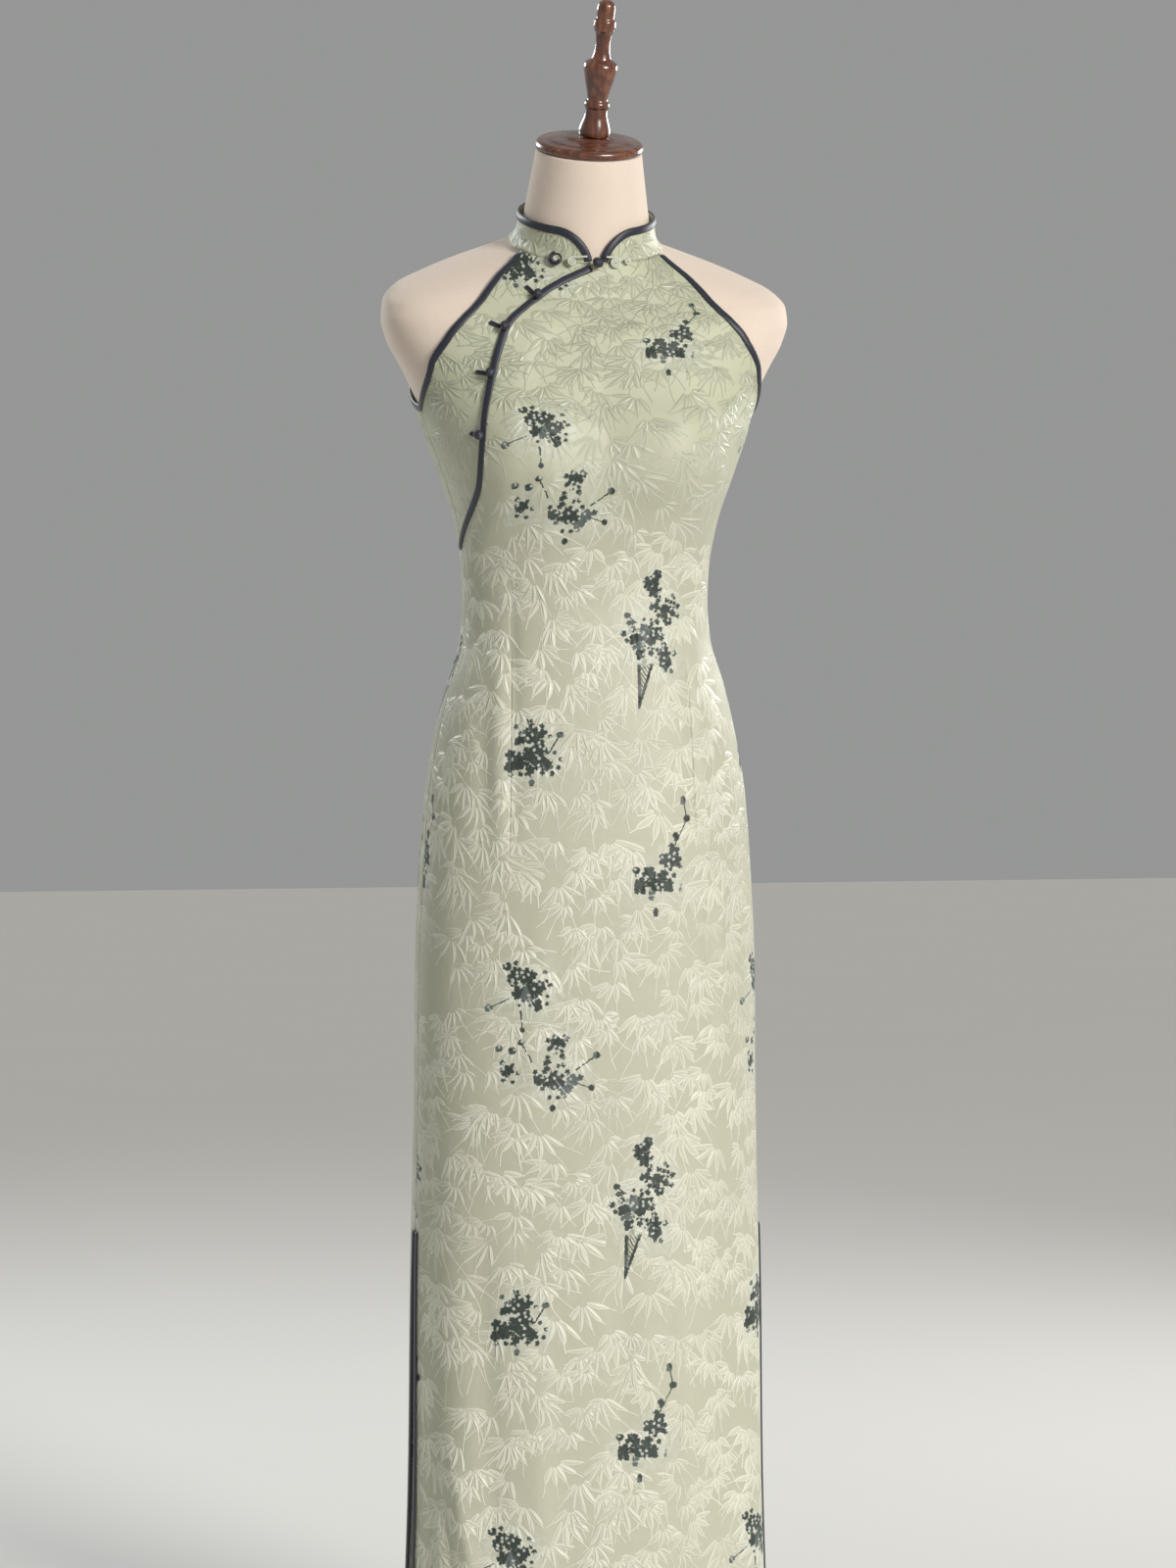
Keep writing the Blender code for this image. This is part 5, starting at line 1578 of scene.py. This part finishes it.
@dataclass
class Fastenings:
    """The ball knots, their loops' legs and the coiled cords at the collar."""

    cut: Cut
    finishes: Finishes
    knot_heights: tuple[float, ...] = (WAIST + 0.311, WAIST + 0.262, WAIST + 0.218, WAIST + 0.162)
    knot_radius: float = 0.0050
    collar_knot_radius: float = 0.0058
    over_binding: float = 0.0033
    knot_segments: int = 56
    knot_rings: int = 36
    knot_plane: tuple[float, float, float] = (0.80, 0.42, 0.43)  # normal of a knot's first cord
    knot_phases: tuple[float, ...] = (0.0, 2.1, 4.2)
    knot_cord: float = 0.36  # half width of a knot's cord, as shares of its radius from here on
    knot_rise: float = 0.18
    knot_weave: float = 0.14
    knot_flat: float = 0.92
    knot_sunk: float = 0.86  # height of its middle over what it lies on
    leg_length: float = 0.0125
    leg_cord: float = 0.00105
    leg_reach: float = 0.0023
    leg_dip: float = 0.0004
    leg_twist: float = 1900.0  # radians a metre of the swelling along its cord
    # name, distance from the centre line, radius, whether its cord is dark
    coils: tuple[tuple[str, float, float, bool], ...] = (
        ("dark", -0.0360, 0.0080, True),
        ("right", -0.0220, 0.0052, False),
        ("left", 0.0160, 0.0062, False),
        ("tip", 0.0272, 0.0042, False),
    )
    coil_cord: float = 0.00105
    tail_within: float = 0.025  # a coil nearer the centre than this has a tail to the knot

    def knot(self, name: str, place: Place, radius: float, node: str) -> bpy.types.Object:
        """A ball knot: a ball whose radius rises over three round cords, each on its own slanting plane.

        Over each cord the rise is the root of 1 less the square of the distance from its plane, and it
        swings with the angle along the cord, so that each passes over and under the next.

        Args:
            name: the piece's name.
            place: its middle and axes.
            radius: its greatest radius.
            node: the CAD node it stands for.

        Returns:
            The knot.
        """
        turn = np.arange(self.knot_segments) * 2 * math.pi / self.knot_segments
        rise = np.linspace(-math.pi / 2, math.pi / 2, self.knot_rings + 2)[1:-1, None]
        ball = grid_of(np.cos(rise) * np.cos(turn), np.cos(rise) * np.sin(turn), np.sin(rise))
        lift = np.zeros(ball.shape[:2])
        for axis, phase in enumerate(self.knot_phases):
            off = ball @ unit(np.roll(np.array(self.knot_plane), axis))
            along = np.arctan2(ball[..., (axis + 1) % 3], ball[..., (axis + 2) % 3])
            woven = 1 - self.knot_weave + self.knot_weave * np.cos(2 * along + phase)
            lift = np.maximum(lift, np.sqrt(np.clip(1 - (off / self.knot_cord) ** 2, 0, 1)) * woven)
        size = radius * (1 - self.knot_rise + self.knot_rise * lift)
        local = ball * size[..., None] * np.array([1.0, 1.0, self.knot_flat])
        uv = grid_of(np.linspace(0, 2 * math.pi * radius, self.knot_segments + 1)[None], rise * radius)
        return closed_piece(name, (place.put(local), uv), self.finishes.satin, node)

    def settle(self, target: Array, angle: Array, height: Array) -> tuple[Array, Array]:
        """Angle and height of the point of the cloth nearest the target, from a near guess."""
        nudge = 1e-4
        for _ in range(4):
            here = self.cut.plain_point(angle, height)
            round_it = (self.cut.plain_point(angle + nudge, height) - here)[0] / nudge
            up_it = (self.cut.plain_point(angle, height + nudge) - here)[0] / nudge
            slopes = np.stack([round_it, up_it], axis=1)
            step = np.linalg.lstsq(slopes, (target - here)[0], rcond=None)[0]
            angle, height = angle + step[0], height + step[1]
        return angle, height

    def leg(self, name: str, place: Place, node: str) -> bpy.types.Object:
        """A doubled cord sewn flat: two straight runs joined by a half circle, ends dipped to the cloth."""
        half, bend = self.leg_length / 2 - self.leg_cord, self.leg_cord * 0.98
        straight = np.linspace(half, -half + bend, 14)
        turn = np.linspace(math.pi / 2, -math.pi / 2, 13)[1:-1]
        x = np.concatenate([straight, -half + bend - bend * np.cos(turn), straight[::-1]])
        y = np.concatenate([np.full(14, bend), bend * np.sin(turn), np.full(14, -bend)])
        z = np.full_like(x, self.leg_cord) - self.leg_dip * ramp((x - half + 0.002) / 0.002)
        thick = self.leg_cord * (1 + 0.07 * np.abs(np.sin(x * self.leg_twist)))
        grid = tube(place.put(np.stack([x, y, z], axis=-1)), thick, place.out)
        return closed_piece(name, grid, self.finishes.satin, node)

    def placket_fastening(self, number: int, height: float) -> None:
        """A ball knot on the binding and the doubled leg of its loop on the under-front."""
        cut = self.cut
        at = np.array([height, height + 0.004])
        angle = cut.placket_angle(at)
        edge = cut.front_point(angle, at)
        normal = cut.figure.normal(angle, at)[0]
        across = unit(np.cross(edge[1] - edge[0], normal))
        out = self.over_binding - 0.0004 + self.knot_radius * self.knot_sunk
        place = Place.on(edge[0] + across * 0.0018 + normal * out, normal, across)
        self.knot(f"ball_knot_{number}", place, self.knot_radius, f"placket_knot_{number}")
        target = edge[0] - across * (self.leg_reach + self.leg_length / 2)
        leg_angle, leg_height = self.settle(target, angle[:1], at[:1])
        rest = cut.plain_point(leg_angle, leg_height, cut.cloth + 0.0002)[0]
        place = Place.on(rest, cut.figure.normal(leg_angle, leg_height)[0], across)
        self.leg(f"loop_leg_{number}", place, f"placket_leg_{number}")

    def collar_place(self, from_centre: float, out: float) -> Place:
        """A place on the collar's seam line, out from the cloth."""
        height = np.array([NECK_SEAM - 0.0005])
        angle = math.copysign(1, from_centre) * self.cut.angle_at(np.array([abs(from_centre)]), height)
        spot = self.cut.on_cloth(angle, height, np.array([out]))[0]
        return Place.on(spot, self.cut.figure.normal(angle, height)[0], np.array([1.0, 0.0, 0.0]))

    def spiral(self, skin: Skin, place: Place, outer: float, inner: float, hand: float, slot: int,
               tail: float = 0.0) -> None:
        """Adds a flat coil: the radius shrinks by a little over a cord's width for each turn.

        Args:
            skin: the piece it becomes part of.
            place: its middle and axes.
            outer: radius of its outer edge.
            inner: radius at which it stops.
            hand: +1 or -1, the way it turns and the side its outer end points to.
            slot: which material it wears.
            tail: length of the straight end towards its neighbour.
        """
        cord = self.coil_cord
        pitch = 2.02 * cord
        start, stop = outer - cord, max(inner, 0.35 * cord)
        turns = (start - stop) / pitch
        t = np.linspace(0, turns, max(18, int(30 * turns)))
        radius = start - pitch * t
        turn = hand * 2 * math.pi * t + math.pi / 2
        height = cord * (0.9 + 0.55 * (1 - radius / outer))
        path = np.stack([radius * np.cos(turn), radius * np.sin(turn), height], axis=-1)
        if tail:
            run = np.linspace(tail, 0, 9)[:-1]
            lead = np.stack([hand * run, np.full_like(run, start), np.full_like(run, cord * 0.9)], axis=-1)
            path = np.concatenate([lead, path])
        points, uv = tube(place.put(path), np.full(len(path), cord), place.out, 10)
        skin.add(points, uv, wrap=True, caps=True, slot=slot)

    def collar_fastening(self) -> None:
        """The ball knot where the collar's ends meet, and the flat coils of cord on either side."""
        cut = self.cut
        out = cut.ease + cut.overlap_lift + self.over_binding
        place = self.collar_place(0.0, out + self.collar_knot_radius * self.knot_sunk)
        self.knot("collar_ball_knot", place, self.collar_knot_radius, "collar_knot")
        for name, from_centre, radius, dark in self.coils:
            place = self.collar_place(from_centre, out)
            skin = Skin()
            if dark:
                self.spiral(skin, place, radius, radius * 0.42, 1.0, 0)
                self.spiral(skin, place, radius * 0.40, 0.0, 1.0, 1)
            else:
                to_knot = abs(from_centre) - radius * 0.3 - self.collar_knot_radius
                tail = to_knot if abs(from_centre) < self.tail_within else 0.0
                self.spiral(skin, place, radius, 0.0, -math.copysign(1, from_centre), 0, tail)
            finishes = [self.finishes.satin, self.finishes.cord] if dark else [self.finishes.cord]
            in_place(skin.build(f"coil_{name}", finishes), f"collar_coil_{name}")

    def build(self) -> None:
        """Makes every fastening."""
        for number, height in enumerate(self.knot_heights, start=1):
            self.placket_fastening(number, height)
        self.collar_fastening()


# ------------------------------------------------------------
# The form and its stand


@dataclass
class DressForm:
    """The smooth linen-covered torso."""

    figure: Figure
    linen: bpy.types.Material
    segments: int = 160
    shrink: tuple[float, ...] = (0.3, 0.7, 0.95, 0.985)  # sizes of the rings that close its ends

    def build(self) -> bpy.types.Object:
        """Rings of the figure from its foot to the neck's top, closed by level rings that shrink inward."""
        heights = np.concatenate([
            spaced((FORM_BOTTOM, FORM_BOTTOM + 0.016), 0.002),
            spaced((FORM_BOTTOM + 0.016, WAIST + 0.250), 0.007)[1:],
            spaced((WAIST + 0.250, NECK_TOP), 0.0025)[1:],
        ])
        turn = np.linspace(0, 2 * math.pi, self.segments + 1)
        angle, height = np.meshgrid(turn, heights)
        points = self.figure.point(angle, height, dressed=False)
        uv = np.stack([angle * 0.14, height], axis=-1)
        shrink = np.array(self.shrink)[:, None, None]
        foot, top = points[0], points[-1]
        low = foot.mean(axis=0) + (foot - foot.mean(axis=0)) * shrink
        high = top.mean(axis=0) + (top - top.mean(axis=0)) * shrink[::-1]
        points = np.concatenate([low, points, high])[:, :-1]
        more = len(self.shrink)
        uv = np.concatenate([uv[:1].repeat(more, axis=0), uv, uv[-1:].repeat(more, axis=0)])
        return closed_piece("torso_linen", (points, uv), self.linen, "form_torso")


@dataclass
class Turnery:
    """The turned wooden cap and finial, and the steel pole and base."""

    figure: Figure
    finishes: Finishes
    part_gap: float = 0.0004
    finial_lean: float = math.radians(2.5)
    finial_offset: float = 0.004
    pole_radius: float = 0.0125
    uv_radius: float = 0.02
    # profiles: height along the axis and radius, from the top
    cap: tuple[tuple[float, float], ...] = (
        (0.0130, 0.0225), (0.0112, 0.0245), (0.0106, 0.0378), (0.0092, 0.0415), (0.0086, 0.0490),
        (0.0062, 0.0515), (0.0030, 0.0522), (0.0004, 0.0504), (0.0000, 0.0480),
    )
    finial: tuple[tuple[float, float], ...] = (
        (0.1297, 0.0022), (0.1288, 0.0050), (0.1256, 0.0082), (0.1200, 0.0090), (0.1125, 0.0084),
        (0.1111, 0.0094), (0.1097, 0.0104), (0.1042, 0.0108), (0.1023, 0.0098), (0.1009, 0.0098),
        (0.0981, 0.0078), (0.0893, 0.0070), (0.0800, 0.0076), (0.0730, 0.0098), (0.0702, 0.0152),
        (0.0665, 0.0166), (0.0628, 0.0160), (0.0521, 0.0136), (0.0409, 0.0106), (0.0344, 0.0096),
        (0.0321, 0.0120), (0.0284, 0.0123), (0.0260, 0.0106), (0.0186, 0.0112), (0.0102, 0.0142),
        (0.0047, 0.0156), (0.0000, 0.0150),
    )
    base: tuple[tuple[float, float], ...] = (
        (0.0440, 0.0150), (0.0440, 0.0190), (0.0400, 0.0225), (0.0240, 0.0270), (0.0185, 0.0420),
        (0.0150, 0.0900), (0.0110, 0.1560), (0.0075, 0.1675), (0.0030, 0.1700), (0.0000, 0.1680),
    )

    def softened(self, profile: Sequence[tuple[float, float]], reach: float) -> Array:
        """The profile with each inner corner replaced by a parabola that starts at most reach from it."""
        rows = np.array(profile)
        legs = np.diff(rows, axis=0)
        length = np.linalg.norm(legs, axis=1, keepdims=True)
        way = legs / length
        cut = np.minimum(np.minimum(length[:-1], length[1:]) * 0.48, reach)
        corner = rows[1:-1]
        t = np.linspace(0, 1, 6)[None, :, None]
        start, end = (corner - way[:-1] * cut)[:, None], (corner + way[1:] * cut)[:, None]
        bend = (1 - t) ** 2 * start + 2 * t * (1 - t) * corner[:, None] + t * t * end
        return np.concatenate([rows[:1], bend.reshape(-1, 2), rows[-1:]])

    def turned(self, name: str, profile: Array, place: Place, finish: bpy.types.Material, slot: str,
               node: str, segments: int = 96) -> bpy.types.Object:
        """The profile carried round its axis: radius times cosine and sine of the angle, and its height."""
        turn = np.arange(segments) * 2 * math.pi / segments
        height, radius = profile[::-1, :1], profile[::-1, 1:]
        local = grid_of(radius * np.cos(turn), radius * np.sin(turn), height)
        uv = grid_of(np.linspace(0, 2 * math.pi, segments + 1)[None] * self.uv_radius, height)
        return closed_piece(name, (place.put(local), uv), finish, node)

    def build(self) -> None:
        """Makes the wood square to the tilted neck, and the stand upright."""
        right, front, left, back = self.figure.point(np.radians([-90, 0, 90, 180]), NECK_TOP)
        normal = unit(np.cross(left - right, back - front))
        centre = (left + right) / 2
        ahead = np.array([1.0, 0.0, 0.0])
        on_neck = Place.on(centre + normal * self.part_gap, normal, ahead)
        self.turned("turned_cap", self.softened(self.cap, 0.0012), on_neck, self.finishes.cap_walnut,
                    "walnut", "neck_cap", 128)
        lift = self.part_gap * 2 + self.cap[0][0] + self.finial[-1][1] * math.sin(self.finial_lean)
        upright = np.array(Matrix.Rotation(self.finial_lean, 3, "Y") @ Vector(normal))
        on_cap = centre + normal * lift + np.array([self.finial_offset, 0.0, 0.0])
        self.turned("turned_finial", self.softened(self.finial, 0.0022), Place.on(on_cap, upright, ahead),
                    self.finishes.walnut, "walnut", "neck_finial")
        floor = Place.on(np.zeros(3), np.array([0.0, 0.0, 1.0]), ahead)
        self.turned("steel_base", self.softened(self.base, 0.0040), floor, self.finishes.steel, "steel",
                    "stand_base", 160)
        low, high = self.base[0][0] + self.part_gap, FORM_BOTTOM - self.part_gap
        wide = self.pole_radius
        pole = ((high, wide * 0.9), (high - 0.001, wide), (high - 0.030, wide), (high - 0.031, wide * 0.93),
                (low + 0.045, wide * 0.93), (low + 0.043, wide), (low + 0.001, wide), (low, wide * 0.92))
        self.turned("steel_pole", self.softened(pole, 0.0008), floor, self.finishes.steel, "steel",
                    "stand_pole", 64)


# ------------------------------------------------------------
# The studio


@dataclass
class Lamp:
    """A soft light: its kind, where it stands, its size, its power and its colour."""

    name: str
    kind: str
    place: tuple[float, float, float]
    size: float
    power: float
    colour: Colour = (1.0, 1.0, 1.0)


@dataclass
class Studio:
    """A pale floor, soft lamps and the camera."""

    aim: tuple[float, float, float] = (0.003, 0.0, 0.929)
    azimuth: float = math.radians(-10)
    elevation: float = math.radians(2.5)
    distance: float = 4.0
    half_height: float = 0.76
    sensor: float = 36.0  # millimetres
    floor_half: float = 12.0
    sky: Colour = (0.80, 0.815, 0.80)
    sky_strength: float = 0.38
    lamps: tuple[Lamp, ...] = (
        Lamp("key", "SUN", (2.25, -4.2, 2.45), math.radians(20), 2.80, (1.0, 0.962, 0.925)),
        Lamp("rim_left", "AREA", (-1.5, 2.2, 2.5), 0.9, 38.0, (0.93, 0.97, 1.0)),
        Lamp("rim_right", "AREA", (2.0, 1.6, 1.9), 0.9, 30.0),
    )

    def build(self) -> None:
        """Makes the floor, the world, the lamps and the camera."""
        scene = bpy.context.scene
        half = self.floor_half
        side = np.array([-half, half])
        corners = grid_of(side, side[:, None], 0.0)
        skin = Skin()
        skin.add(corners, corners[..., :2])
        floor = skin.build("floor", [PaleFloor().build()], closed=False)
        world = bpy.data.worlds.new("studio")
        scene.world = world
        world.use_nodes = True
        sky = world.node_tree.nodes["Background"]
        sky.inputs["Color"].default_value = (*self.sky, 1.0)
        sky.inputs["Strength"].default_value = self.sky_strength
        for lamp in self.lamps:
            data = bpy.data.lights.new(lamp.name, lamp.kind)
            if lamp.kind == "SUN":
                data.angle = lamp.size
            else:
                data.size = lamp.size
            data.energy, data.color = lamp.power, lamp.colour
            light = bpy.data.objects.new(lamp.name, data)
            light.location = lamp.place
            light.rotation_euler = (Vector(self.aim) - Vector(lamp.place)).to_track_quat("-Z", "Y").to_euler()
            scene.collection.objects.link(light)
        data = bpy.data.cameras.new("camera")
        data.sensor_width = self.sensor
        data.lens = self.sensor / 2 * self.distance / self.half_height
        camera = bpy.data.objects.new("camera", data)
        away = Vector((math.sin(self.azimuth) * math.cos(self.elevation),
                       -math.cos(self.azimuth) * math.cos(self.elevation), math.sin(self.elevation)))
        camera.location = Vector(self.aim) + away * self.distance
        camera.rotation_euler = (-away).to_track_quat("-Z", "Y").to_euler()
        scene.collection.objects.link(camera)
        scene.camera = camera
        scene.view_settings.view_transform = "Standard"
        log.info("studio: %d lamps", len(self.lamps))


def main() -> None:
    """Builds the object's sub-assemblies in order, then the studio."""
    logging.basicConfig(level=logging.INFO, format="%(name)s %(message)s")
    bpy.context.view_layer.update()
    finishes = Finishes()
    cut = Cut()
    form = DressForm(cut.figure, finishes.linen).build()
    log.info("form: %s", form.name)
    panels = Panels(cut, finishes.silk).build()
    bindings = Bindings(cut, finishes.satin)
    strips = bindings.build()
    collar = Collar(cut, bindings, finishes.silk).build()
    Fastenings(cut, finishes).build()
    Turnery(cut.figure, finishes).build()
    Studio().build()


if __name__ == "__main__":
    main()
